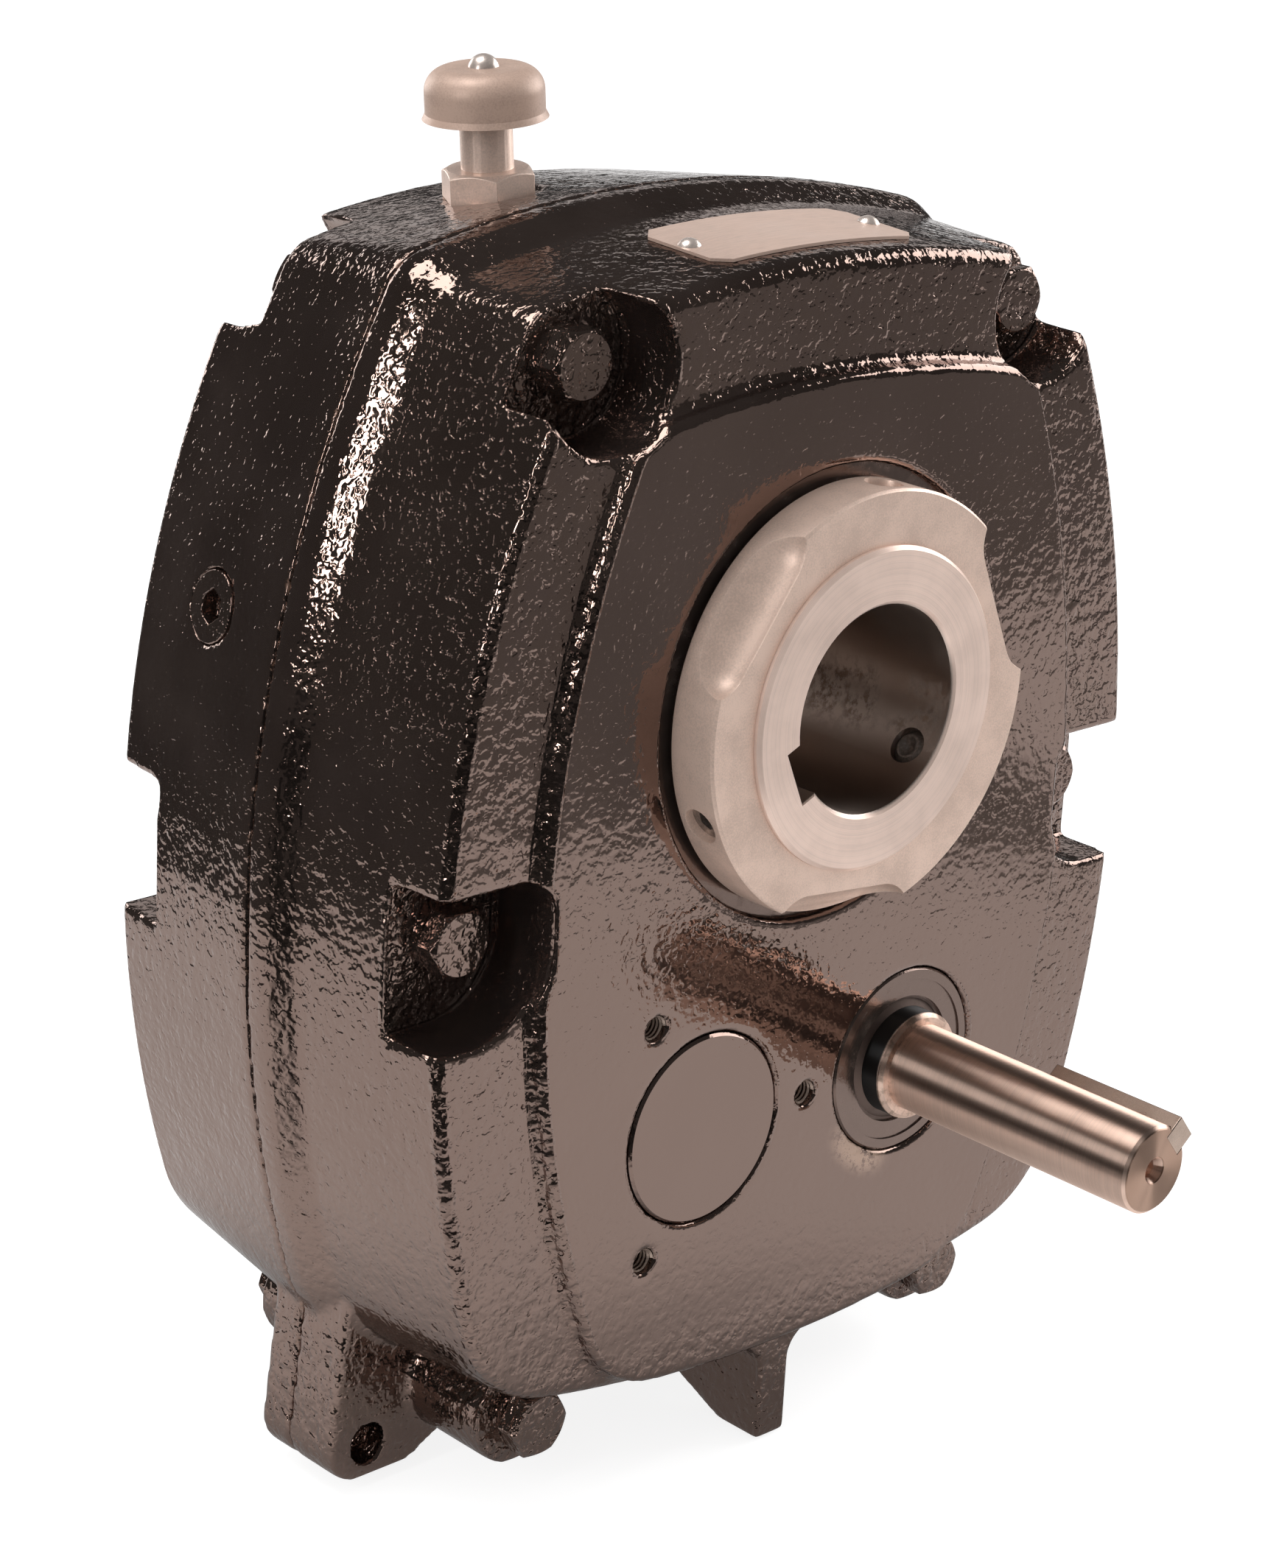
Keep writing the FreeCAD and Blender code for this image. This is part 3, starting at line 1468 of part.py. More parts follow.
def nameplate():
    """A thin plate bent to the crown of the front half, held by two rivets."""
    slope = math.tan(math.radians(d.front_draft.value))
    gap = d.running_clearance
    near, far = d.plate_start, d.plate_start + d.plate_length

    def surface(y):
        return d.crown_radius + (shoulder - y) * slope + gap

    body = new_body("nameplate_blank")
    sketch = new_sketch(body, "nameplate_profile", "YZ_Plane")
    thick = d.plate_thickness
    add_polygon(sketch, [
        (-far, surface(far)),
        (-near, surface(near)),
        (-near, surface(near) + thick),
        (-far, surface(far) + thick),
    ])
    bent = body.newObject("PartDesign::Revolution", "nameplate_bent")
    bent.Profile = sketch
    bent.ReferenceAxis = (sketch, ["H_Axis"])
    bent.Angle = 2 * math.degrees(math.asin(d.plate_width.value / 2 / d.crown_radius.value))
    bent.Midplane = True
    doc.recompute()
    edges = enumerate(bent.Shape.Edges, start=1)
    corners = [f"Edge{i}" for i, edge in edges if edge.Length < 2 * thick.value]
    clipped = body.newObject("PartDesign::Chamfer", "nameplate_clipped")
    clipped.Base = (bent, corners)
    bind(clipped, "Size", d.plate_corner)
    doc.recompute()
    centre_z = crown_height - d.crown_radius
    place(body, 0, 0, centre_z)

    # the rivets stand square on the drafted crown
    middle = (near + far) / 2
    off_centre = d.plate_width.value / 2 - d.plate_rivet_inset.value
    swing = math.degrees(math.asin(off_centre / d.crown_radius.value))
    lean = FreeCAD.Rotation(FreeCAD.Vector(1, 0, 0), d.front_draft.value)

    def spots(height):
        places = []
        for angle in (RADIAL_Z - swing, RADIAL_Z + swing):
            x, z = swung(angle, surface(middle) + height, 0)
            places.append((x, -middle, centre_z + z, radial(angle).multiply(lean)))
        return places

    pin = d.plate_rivet / 4
    holes = [
        cylinder(f"nameplate_hole{index}", pin + d.screw_clearance, thick * 4, *spot)
        for index, spot in enumerate(spots(-thick), start=1)
    ]
    node("nameplate", cut("nameplate", body, fuse("nameplate_holes", holes)))
    head_base = thick + d.seat_clearance
    rivet = fuse("nameplate_rivet", [
        cylinder("nameplate_rivet_pin", pin, head_base, turn=UPRIGHT),
        dome("nameplate_rivet_head", d.plate_rivet / 2, d.plate_rivet_height, head_base),
    ])
    spread("nameplate_rivets", rivet, spots(0))


# The whole assembly

casing_half("front_casing", -1)
casing_half("rear_casing", 1)
output_hub()
output_gear()
layshaft()
layshaft_gear()
input_shaft()
input_seal()
for side, end in ((-1, "front"), (1, "rear")):
    collar(f"{end}_collar", side)
    hub_seal(f"{end}_hub_seal", side)

    def span(start, finish):
        """A stretch along the axis on this side of the joint, lower end first."""
        return (-finish, -start) if side < 0 else (start, finish)

    bearing(f"{end}_hub_bearing", hub_radius, hub_bearing_radius,
            *span(hub_bearing_start, hub_bearing_end), d.hub_roller, d.hub_rollers)
    bearing(f"{end}_layshaft_bearing", d.lay_journal / 2, lay_bearing_radius,
            *span(lay_bearing_start, lay_bearing_end), d.shaft_roller, d.shaft_rollers, -axle_x, axle_z)
    end_disc(f"{end}_layshaft_disc", side, -axle_x)
bearing("front_input_bearing", input_collar, input_bearing_radius,
        -input_bearing_end, -input_bearing_start, d.shaft_roller, d.shaft_rollers, axle_x, axle_z)
bearing("rear_input_bearing", d.lay_journal / 2, lay_bearing_radius,
        lay_bearing_start, lay_bearing_end, d.shaft_roller, d.shaft_rollers, axle_x, axle_z)
end_disc("rear_input_disc", 1, axle_x)
collar_set_screws()
casing_bolts()
dowel_pins()
vent()
oil_plugs()
nameplate()

# Checks and files

doc.recompute()
for item in doc.Objects:
    if "Invalid" in item.State or "Error" in item.State:
        raise RuntimeError(f"{item.Label} failed: {item.State}")
for label, item in nodes.items():
    if item.Shape.isNull() or not item.Shape.isValid():
        raise RuntimeError(f"{label} has no valid shape")
os.makedirs("parts", exist_ok=True)
for label, item in nodes.items():
    item.Shape.exportStep(f"parts/{label}.step")
    print(label, len(item.Shape.Solids), round(item.Shape.Volume, 1), item.Shape.BoundBox)
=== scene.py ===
import json
import math

import bmesh
import bpy
from mathutils import Matrix, Vector


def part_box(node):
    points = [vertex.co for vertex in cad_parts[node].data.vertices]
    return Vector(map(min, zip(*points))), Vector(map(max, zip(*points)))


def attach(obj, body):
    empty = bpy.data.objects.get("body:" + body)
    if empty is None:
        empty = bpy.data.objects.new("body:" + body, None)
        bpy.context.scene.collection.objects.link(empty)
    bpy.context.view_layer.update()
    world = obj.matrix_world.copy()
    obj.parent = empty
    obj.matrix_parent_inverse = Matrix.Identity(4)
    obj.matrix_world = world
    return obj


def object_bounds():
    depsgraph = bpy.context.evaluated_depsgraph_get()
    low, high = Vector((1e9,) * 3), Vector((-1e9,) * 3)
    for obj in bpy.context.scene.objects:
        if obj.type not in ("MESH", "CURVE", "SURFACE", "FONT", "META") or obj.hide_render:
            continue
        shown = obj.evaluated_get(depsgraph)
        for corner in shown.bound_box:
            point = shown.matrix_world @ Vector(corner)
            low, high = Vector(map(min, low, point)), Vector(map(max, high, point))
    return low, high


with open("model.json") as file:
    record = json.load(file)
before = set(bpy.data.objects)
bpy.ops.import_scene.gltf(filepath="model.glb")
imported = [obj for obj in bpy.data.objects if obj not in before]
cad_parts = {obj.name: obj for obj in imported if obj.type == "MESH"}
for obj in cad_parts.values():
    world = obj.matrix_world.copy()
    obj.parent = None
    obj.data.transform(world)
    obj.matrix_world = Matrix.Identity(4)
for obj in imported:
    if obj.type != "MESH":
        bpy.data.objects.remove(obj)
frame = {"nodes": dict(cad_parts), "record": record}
cad_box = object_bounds()
nodes = frame["nodes"]
mounts = {mount["name"]: mount for mount in frame["record"]["mounts"]}

MM = 0.001

# Camera of the photograph: angles in degrees, distances in metres, lens and sensor in millimetres
CAMERA_AZIMUTH = -43.978
CAMERA_ELEVATION = 19.021
CAMERA_ROLL = 2.984
CAMERA_DISTANCE = 0.88177
CAMERA_TARGET = Vector((-0.067022, -0.070, -0.010721))
CAMERA_LENS = 83.14
CAMERA_CLIP = 0.01
SENSOR_HEIGHT = 36.0

# Colours, linear
WHITE = (1.0, 1.0, 1.0)
BLACK = (0.0, 0.0, 0.0)
BLACK_ENAMEL = (0.0085, 0.0062, 0.0054)
WORN_ENAMEL = (0.018, 0.0135, 0.0118)
ENAMEL_SHEEN = (1.0, 0.70, 0.59)
RUST = (0.085, 0.044, 0.026)
TAN_STAIN = (0.40, 0.29, 0.215)
HUB_STEEL = (0.97, 0.745, 0.64)
BORE_STEEL = (0.60, 0.50, 0.44)
BORE_RUST = (0.20, 0.12, 0.08)
COLLAR_STEEL = (0.91, 0.68, 0.565)
SHAFT_STEEL = (0.96, 0.70, 0.575)
SHOULDER_STAIN = (0.40, 0.28, 0.21)
DULL_END = (0.50, 0.33, 0.25)
KEY_STEEL = (0.52, 0.40, 0.33)
GEAR_STEEL = (0.34, 0.29, 0.26)
BEARING_STEEL = (0.62, 0.57, 0.53)
BLACK_OXIDE = (0.24, 0.20, 0.175)
WORN_OXIDE = (0.40, 0.33, 0.29)
RUBBER = (0.026, 0.0195, 0.0165)
DUSTY_RUBBER = (0.060, 0.045, 0.038)
# Painted shade of the input seal's recess, on the rubber lip and on the shaft where it goes in
RECESS_SHADE_BLACK = (0.007, 0.0055, 0.005)
VENT_ZINC = (0.93, 0.72, 0.61)
CAP_ZINC = (0.53, 0.375, 0.30)
BRIGHT_RIVET = (0.86, 0.74, 0.67)
PLATE_ALUMINIUM = (0.715, 0.525, 0.435)
PAPER_GREY = (0.7, 0.7, 0.7)
SHADOW_GREY = (0.34, 0.34, 0.34)


def axis_of(name):
    """X and Z of the middle of a node that is turned about an axis along Y."""
    low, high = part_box(name)
    return (low[0] + high[0]) / 2, (low[2] + high[2]) / 2


# Places read from the frame
FACE_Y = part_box("front_casing")[0][1]
HALF_DEPTH = abs(FACE_Y)
FLOOR_Z = cad_box[0][2]
HUB_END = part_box("output_hub")[1][1]
BORE_RADIUS = mounts["output_bore"]["dims"]["r_mm"] * MM
OUTPUT_AXIS = (0.0, 0.0)
INPUT_AXIS = axis_of("input_seal")
LAYSHAFT_AXIS = axis_of("front_layshaft_disc")
SEAL_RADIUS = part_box("input_seal")[1][0] - INPUT_AXIS[0]
SHAFT_TIP_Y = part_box("input_shaft")[0][1]
SHOULDER_REACH = 6.0 * MM
SHOULDER_Y = FACE_Y - SHOULDER_REACH
BOLT_SEAT = min(abs(corner[1]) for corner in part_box("spring_washers"))

# Sockets of a colour mix: the factor and the two colours, and the result
MIX_INPUTS = (0, 6, 7)
MIX_OUTPUT = 2


class Surface:
    """A procedural material; each call adds a node and gives its output."""

    def __init__(self, name, **constants):
        self.material = bpy.data.materials.new(name)
        self.material.use_nodes = True
        tree = self.material.node_tree
        self.nodes = tree.nodes
        self.links = tree.links
        self.shader = self.nodes["Principled BSDF"]
        for socket, value in constants.items():
            self.shader.inputs[socket.replace("_", " ")].default_value = value
        coordinates = self.add("TexCoord").outputs
        self.place = coordinates["Object"]
        self.x, self.y, self.z = self.parts(self.place)
        self.facing = self.parts(coordinates["Normal"])
        self.tone = None

    def add(self, kind, inputs=None, **settings):
        """A new node with its settings, and its inputs set or linked."""
        node = self.nodes.new("ShaderNode" + kind)
        for name, value in settings.items():
            setattr(node, name, value)
        for name, value in (inputs or {}).items():
            self.feed(node.inputs[name], value)
        return node

    def feed(self, socket, value):
        """Links a node's output to the socket, or sets the socket to a constant."""
        if isinstance(value, bpy.types.NodeSocket):
            self.links.new(value, socket)
        else:
            socket.default_value = value

    def paint(self, **sockets):
        """Feeds the main shader: Base_Color, Roughness, Normal and so on."""
        for name, value in sockets.items():
            self.feed(self.shader.inputs[name.replace("_", " ")], value)

    def parts(self, vector):
        """The X, Y and Z of a vector."""
        return tuple(self.add("SeparateXYZ", {0: vector}).outputs)

    def moved(self, origin=(0, 0, 0), stretch=(1, 1, 1)):
        """The object's coordinates measured from another origin, stretched along each axis."""
        shifted = self.add("VectorMath", {0: self.place, 1: origin}, operation="SUBTRACT")
        scaled = self.add("VectorMath", {0: shifted.outputs[0], 1: stretch}, operation="MULTIPLY")
        return scaled.outputs[0]

    def length(self, vector):
        return self.add("VectorMath", {0: vector}, operation="LENGTH").outputs["Value"]

    def radius(self, axis):
        """Distance from an axis along Y."""
        return self.length(self.moved((axis[0], 0, axis[1]), (1, 0, 1)))

    def lathe(self, axis):
        """Coordinates that change only along the radius and along the axis of a turned piece."""
        return self.add("CombineXYZ", {0: self.radius(axis), 1: self.y}).outputs[0]

    def noise(self, size, detail=2.0, roughness=0.5, place=None):
        """Cloudy noise whose blobs are about this size, in metres."""
        inputs = {
            "Vector": place if place else self.place,
            "Scale": 1 / size,
            "Detail": detail,
            "Roughness": roughness,
        }
        return self.add("TexNoise", inputs).outputs[0]

    def math(self, operation, first, second=0.0):
        return self.add("Math", {0: first, 1: second}, operation=operation).outputs[0]

    def plus(self, first, second):
        return self.math("ADD", first, second)

    def minus(self, first, second):
        return self.math("SUBTRACT", first, second)

    def larger(self, first, second):
        return self.math("MAXIMUM", first, second)

    def absolute(self, value):
        return self.math("ABSOLUTE", value)

    def times(self, *values):
        product = values[0]
        for value in values[1:]:
            product = self.math("MULTIPLY", product, value)
        return product

    def fade(self, value, low, high, start=0.0, end=1.0):
        """A smooth change from start to end while the value goes from low to high."""
        inputs = {"Value": value, "From Min": low, "From Max": high, "To Min": start, "To Max": end}
        return self.add("MapRange", inputs, interpolation_type="SMOOTHSTEP").outputs["Result"]

    def between(self, mask, start, end):
        """Start where the mask is 0, end where it is 1."""
        return self.fade(mask, 0.0, 1.0, start, end)

    def mix(self, factor, first, second):
        """A colour between two colours."""
        node = self.add("Mix", data_type="RGBA")
        for index, value in zip(MIX_INPUTS, (factor, first, second)):
            if isinstance(value, tuple):
                value = (*value, 1.0)
            self.feed(node.inputs[index], value)
        return node.outputs[MIX_OUTPUT]

    def bump(self, height, depth):
        """The normal of a relief whose height is in parts of a depth in metres."""
        return self.add("Bump", {"Height": height, "Distance": depth}).outputs[0]

    def spun_grain(self):
        """Turns the grain of a surface about the Y axis, as tool marks on a lathe run."""
        tangent = self.add("Tangent", direction_type="RADIAL", axis="Y")
        self.paint(Tangent=tangent.outputs[0])


# Paint
# A pair says where a change starts and ends: a place in metres, a part of the facing or a level of noise

ENAMEL_IOR = 2.0
ENAMEL_ROUGHNESS = (0.04, 0.09)
ENAMEL_CLOUDS = 38 * MM
WORN_RANGE = (0.35, 0.75)
CLOUD_RANGE = (0.3, 0.7)

# The relief: its sizes, the levels of noise that show, and its heights
WAVE_SIZE = 2.4 * MM
WAVE_RANGE = (0.34, 0.66)
WAVE_HEIGHT = 0.36
ROLL_SIZE = 8 * MM
ROLL_HEIGHT = 1.2
PIT_SIZE = 3.2 * MM
PIT_RANGE = (0.57, 0.72)
PIT_DEPTH = 0.42
PINHOLE_SIZE = 1.4 * MM
PINHOLE_RANGE = (0.58, 0.72)
PINHOLE_DEPTH = 0.24
ROUGH_PINHOLE_DEPTH = 0.8
RELIEF = 0.24 * MM

# Where the relief is stronger or weaker than on a plain wall, and by how much
FLAT_FACING = (0.7, 0.9)
EDGE_FACING = (0.12, 0.32)
EDGE_START = (25 * MM, 35 * MM)
WALL_FACING = (0.75, 0.45)
FOOT_HEIGHT = (FLOOR_Z + 52 * MM, FLOOR_Z + 38 * MM)
UPPER_HEIGHT = (20 * MM, 80 * MM)
UPPER_START = (0.0, 10 * MM)
ROUGH_HEIGHT = (-20 * MM, 30 * MM)
ROUGH_START = (-10 * MM, -20 * MM)
SEAT_BAND = (1.5 * MM, 0.7 * MM)
MACHINED_START = (HALF_DEPTH - 2.5 * MM, HALF_DEPTH - 0.8 * MM)
MACHINED_RELIEF = 0.35
SEAT_RELIEF = 4.0
EDGE_RELIEF = 1.4
FOOT_RELIEF = 1.0
UPPER_RELIEF = -0.55

# Rust at the joint and the stain at the input seal
FLECK_SIZE = 1.6 * MM
FLECK_RANGE = (0.56, 0.66)
JOINT_BAND = (1.8 * MM, 0.5 * MM)
SEEP_CENTRE = (INPUT_AXIS[0] - 16 * MM, FACE_Y, INPUT_AXIS[1] - 23 * MM)
SEEP_REACH = (16 * MM, 4.8 * MM)
SEEP_RIM = (9 * MM, 3 * MM)
SEEP_FACE = (FACE_Y + 1.5 * MM, FACE_Y + 0.5 * MM)
SEEP_GRAIN = 3 * MM
SEEP_RANGE = (0.40, 0.50)
SEEP_STRENGTH = 0.9
STAIN_DULLNESS = 0.35


def cast_relief(s):
    """Height of the sand-cast relief: strong in seats and at edges, weak on machined faces."""
    from_joint = s.absolute(s.y)
    face_x, face_y, face_z = s.facing
    flat = s.fade(s.absolute(face_y), *FLAT_FACING)
    wall = s.fade(face_z, *WALL_FACING)
    between_sides = s.absolute(s.times(face_x, face_y))
    edge = s.times(s.fade(between_sides, *EDGE_FACING), s.fade(from_joint, *EDGE_START))
    foot = s.fade(s.z, *FOOT_HEIGHT)
    upper = s.times(s.fade(s.z, *UPPER_HEIGHT), s.fade(s.y, *UPPER_START), wall)
    rough = s.times(s.fade(s.z, *ROUGH_HEIGHT), s.fade(s.y, *ROUGH_START), wall)
    rough = s.times(rough, s.between(flat, 1.0, 0.0))
    seat = s.times(flat, s.fade(s.absolute(s.minus(from_joint, BOLT_SEAT)), *SEAT_BAND))

    waves = s.fade(s.noise(WAVE_SIZE, detail=1.0, roughness=0.4), *WAVE_RANGE)
    rolling = s.noise(ROLL_SIZE, detail=1.0, roughness=0.4)
    pits = s.fade(s.noise(PIT_SIZE, detail=1.5), *PIT_RANGE)
    pinholes = s.fade(s.noise(PINHOLE_SIZE, detail=1.5), *PINHOLE_RANGE)
    height = s.plus(s.times(waves, WAVE_HEIGHT), s.times(rolling, ROLL_HEIGHT))
    height = s.minus(height, s.times(pits, PIT_DEPTH))
    height = s.minus(height, s.times(pinholes, s.between(rough, PINHOLE_DEPTH, ROUGH_PINHOLE_DEPTH)))

    strength = s.fade(from_joint, *MACHINED_START, 1.0, MACHINED_RELIEF)
    more = ((seat, SEAT_RELIEF), (edge, EDGE_RELIEF), (foot, FOOT_RELIEF), (upper, UPPER_RELIEF))
    for place, amount in more:
        strength = s.plus(strength, s.times(place, amount))
    return s.times(height, strength)


def joint_rust(s):
    """Flecks of rust along the joint of the two halves."""
    flecks = s.noise(FLECK_SIZE, detail=3.0, roughness=0.65)
    return s.times(s.fade(s.absolute(s.y), *JOINT_BAND), s.fade(flecks, *FLECK_RANGE))


def seal_seep(s):
    """A dry stain on the face, below and beside the input seal."""
    near = s.fade(s.length(s.moved(SEEP_CENTRE)), *SEEP_REACH)
    from_seal = s.minus(s.radius(INPUT_AXIS), SEAL_RADIUS)
    grain = s.fade(s.noise(SEEP_GRAIN, detail=5.0, roughness=0.75), *SEEP_RANGE)
    return s.times(near, s.fade(from_seal, *SEEP_RIM), s.fade(s.y, *SEEP_FACE), grain, SEEP_STRENGTH)


def enamel(name, sand=1.0, stained=False):
    """Gloss black enamel over cast iron; sand is how much of the relief shows through."""
    s = Surface(name, IOR=ENAMEL_IOR, Specular_IOR_Level=1.0, Specular_Tint=(*ENAMEL_SHEEN, 1.0))
    clouds = s.noise(ENAMEL_CLOUDS, detail=3.0)
    tint = s.mix(s.fade(clouds, *WORN_RANGE), BLACK_ENAMEL, WORN_ENAMEL)
    roughness = s.fade(clouds, *CLOUD_RANGE, *ENAMEL_ROUGHNESS)
    if stained:
        rust = joint_rust(s)
        seep = seal_seep(s)
        tint = s.mix(seep, s.mix(rust, tint, RUST), TAN_STAIN)
        roughness = s.plus(roughness, s.times(s.larger(rust, seep), STAIN_DULLNESS))
    s.paint(Base_Color=tint, Roughness=roughness, Normal=s.bump(cast_relief(s), RELIEF * sand))
    return s.material


# Metals

# Marks of the lathe
TURNED_CLOUDS = 17 * MM
TURNED_RING_SHARE = 0.5
TURNED_DULL = 0.80
TURNED_RANGE = (0.38, 0.68)
TURNED_ROUGHNESS_SPREAD = 0.08
ALONG_GROOVES = 0.25

# The hub's bore and its rust
BORE_EDGE = (BORE_RADIUS + 5.2 * MM, BORE_RADIUS + 4.6 * MM)
BORE_START = (HUB_END - 0.3 * MM, HUB_END - 1.2 * MM)
HUB_METAL = 0.45
RUST_DASH = 1.6 * MM
RUST_STRETCH = (1, 0.7, 0.5)
RUST_RANGE = (0.40, 0.62)
RUST_LOW = (-20 * MM, -11 * MM)
RUST_HIGH = (3 * MM, -4 * MM)
RUST_PATCH = 14 * MM
RUST_PATCH_RANGE = (0.36, 0.56)
RUST_MATT = 0.7

# Even grain
SATIN_CLOUDS = 13 * MM
SATIN_DULL = 0.78
SATIN_GRAIN_SHARE = 0.45
SATIN_RANGE = (0.40, 0.66)
SATIN_ROUGHNESS_SPREAD = 0.1

# The input shaft's grinding marks, stain, end, and painted shade where it goes into the seal
GRINDING_WIDTH = 0.22 * MM
GRINDING_DEPTH = 0.001 * MM
STAIN_START = (SHOULDER_Y - 4 * MM, SHOULDER_Y + 2 * MM)
STAIN_GRAIN = 2.5 * MM
STAIN_RANGE = (0.46, 0.64)
STAIN_STRENGTH = 0.8
TIP_START = (SHAFT_TIP_Y + 0.4 * MM, SHAFT_TIP_Y + 0.2 * MM)
RECESS_SHADE_START = (SHOULDER_Y + 1.0 * MM, SHOULDER_Y + 1.8 * MM)

# The nameplate
HAIR_WIDTH = 0.35 * MM
HAIR_STRETCH = (0.03, 1, 1)
HAIR_RANGE = (0.35, 0.7)
HAIR_DEPTH = 0.01 * MM
PLATE_METAL = 0.4
PLATE_CLOUDS = 18 * MM
PLATE_DULL = 0.84
PLATE_ROUGHNESS = (0.30, 0.42)

# The set screws
OXIDE_METAL = 0.8
OXIDE_GRAIN = 0.8 * MM
OXIDE_DEPTH = 0.08 * MM
OXIDE_RANGE = (0.4, 0.7)
OXIDE_ROUGHNESS = (0.28, 0.45)


def darker(colour, share):
    return tuple(part * share for part in colour)


def turned(name, colour, axis, roughness, groove=0.30 * MM, depth=0.012 * MM, spread=0.5):
    """Steel with fine rings from the lathe about an axis along Y, and faint stains."""
    s = Surface(name, Metallic=1.0, Anisotropic=spread, Anisotropic_Rotation=ALONG_GROOVES)
    s.spun_grain()
    rings = s.noise(groove, detail=3.0, roughness=0.7, place=s.lathe(axis))
    clouds = s.noise(TURNED_CLOUDS, detail=4.0, roughness=0.6)
    blend = s.plus(s.times(rings, TURNED_RING_SHARE), s.times(clouds, 1 - TURNED_RING_SHARE))
    s.tone = s.mix(s.fade(blend, *TURNED_RANGE), colour, darker(colour, TURNED_DULL))
    s.paint(
        Base_Color=s.tone,
        Roughness=s.fade(clouds, *CLOUD_RANGE, roughness, roughness + TURNED_ROUGHNESS_SPREAD),
        Normal=s.bump(rings, depth),
    )
    return s


def hub_steel():
    """Bright turned ends and a darker honed bore with streaks of rust."""
    s = turned("hub_steel", HUB_STEEL, OUTPUT_AXIS, roughness=0.32, spread=0.7)
    in_bore = s.times(s.fade(s.radius(OUTPUT_AXIS), *BORE_EDGE), s.fade(s.absolute(s.y), *BORE_START))
    dashes = s.noise(RUST_DASH, detail=4.0, roughness=0.7, place=s.moved(stretch=RUST_STRETCH))
    band = s.times(s.fade(s.z, *RUST_LOW), s.fade(s.z, *RUST_HIGH))
    patches = s.fade(s.noise(RUST_PATCH), *RUST_PATCH_RANGE)
    rust = s.times(s.fade(dashes, *RUST_RANGE), band, patches, in_bore)
    worn = s.mix(in_bore, s.tone, BORE_STEEL)
    metal = s.minus(s.between(in_bore, HUB_METAL, 1.0), s.times(rust, RUST_MATT))
    s.paint(Base_Color=s.mix(rust, worn, BORE_RUST), Metallic=metal)
    return s.material


def shaft_steel():
    """Ground shaft with a dull end, a stained shoulder, and painted shade where it enters the seal."""
    s = turned("shaft_steel", SHAFT_STEEL, INPUT_AXIS, 0.38, GRINDING_WIDTH, GRINDING_DEPTH, spread=0.95)
    blotches = s.fade(s.noise(STAIN_GRAIN, detail=4.0, roughness=0.65), *STAIN_RANGE)
    stain = s.times(s.fade(s.y, *STAIN_START), blotches, STAIN_STRENGTH)
    tip = s.fade(s.y, *TIP_START)
    # Painted shade: the shaft is black and not metal where it goes into the seal's recess
    recess_shade = s.fade(s.y, *RECESS_SHADE_START)
    ground = s.mix(tip, s.mix(stain, s.tone, SHOULDER_STAIN), DULL_END)
    s.paint(Base_Color=s.mix(recess_shade, ground, RECESS_SHADE_BLACK), Metallic=s.between(recess_shade, 1.0, 0.0))
    return s.material


def satin(name, colour, roughness, metallic=1.0, grain=0.5 * MM, depth=0.02 * MM):
    """Plated or machined metal with a fine even grain and faint clouds."""
    s = Surface(name, Metallic=metallic)
    fine = s.noise(grain, detail=3.0, roughness=0.6)
    clouds = s.noise(SATIN_CLOUDS, detail=4.0, roughness=0.6)
    blend = s.plus(s.times(fine, SATIN_GRAIN_SHARE), s.times(clouds, 1 - SATIN_GRAIN_SHARE))
    s.paint(
        Base_Color=s.mix(s.fade(blend, *SATIN_RANGE), colour, darker(colour, SATIN_DULL)),
        Roughness=s.fade(clouds, *CLOUD_RANGE, roughness, roughness + SATIN_ROUGHNESS_SPREAD),
        Normal=s.bump(fine, depth),
    )
    return s.material


def brushed_plate():
    """Aluminium sheet brushed along the plate."""
    s = Surface("plate_aluminium", Metallic=PLATE_METAL)
    hairs = s.noise(HAIR_WIDTH, detail=3.0, roughness=0.7, place=s.moved(stretch=HAIR_STRETCH))
    clouds = s.noise(PLATE_CLOUDS, detail=3.0)
    dull = darker(PLATE_ALUMINIUM, PLATE_DULL)
    s.paint(
        Base_Color=s.mix(s.fade(hairs, *HAIR_RANGE), PLATE_ALUMINIUM, dull),
        Roughness=s.fade(clouds, *CLOUD_RANGE, *PLATE_ROUGHNESS),
        Normal=s.bump(hairs, HAIR_DEPTH),
    )
    return s.material


def black_oxide():
    """Blackened steel of the set screws, worn lighter in places."""
    s = Surface("black_oxide", Metallic=OXIDE_METAL)
    grain = s.noise(OXIDE_GRAIN, detail=3.0, roughness=0.6)
    s.paint(
        Base_Color=s.mix(s.fade(grain, *OXIDE_RANGE), BLACK_OXIDE, WORN_OXIDE),
        Roughness=s.fade(grain, *CLOUD_RANGE, *OXIDE_ROUGHNESS),
        Normal=s.bump(grain, OXIDE_DEPTH),
    )
    return s.material


# Seals

SEAL_IOR = 1.8
SEAL_ROUGHNESS = (0.16, 0.30)
SEAL_GRAIN = 0.9 * MM
SEAL_GRAIN_DEPTH = 0.03 * MM
DUST_SIZE = 5 * MM
DUST_RANGE = (0.42, 0.72)
INPUT_LIP = 17.8 * MM
LIP_EDGE = 0.4 * MM
LIP_DULLNESS = 0.35


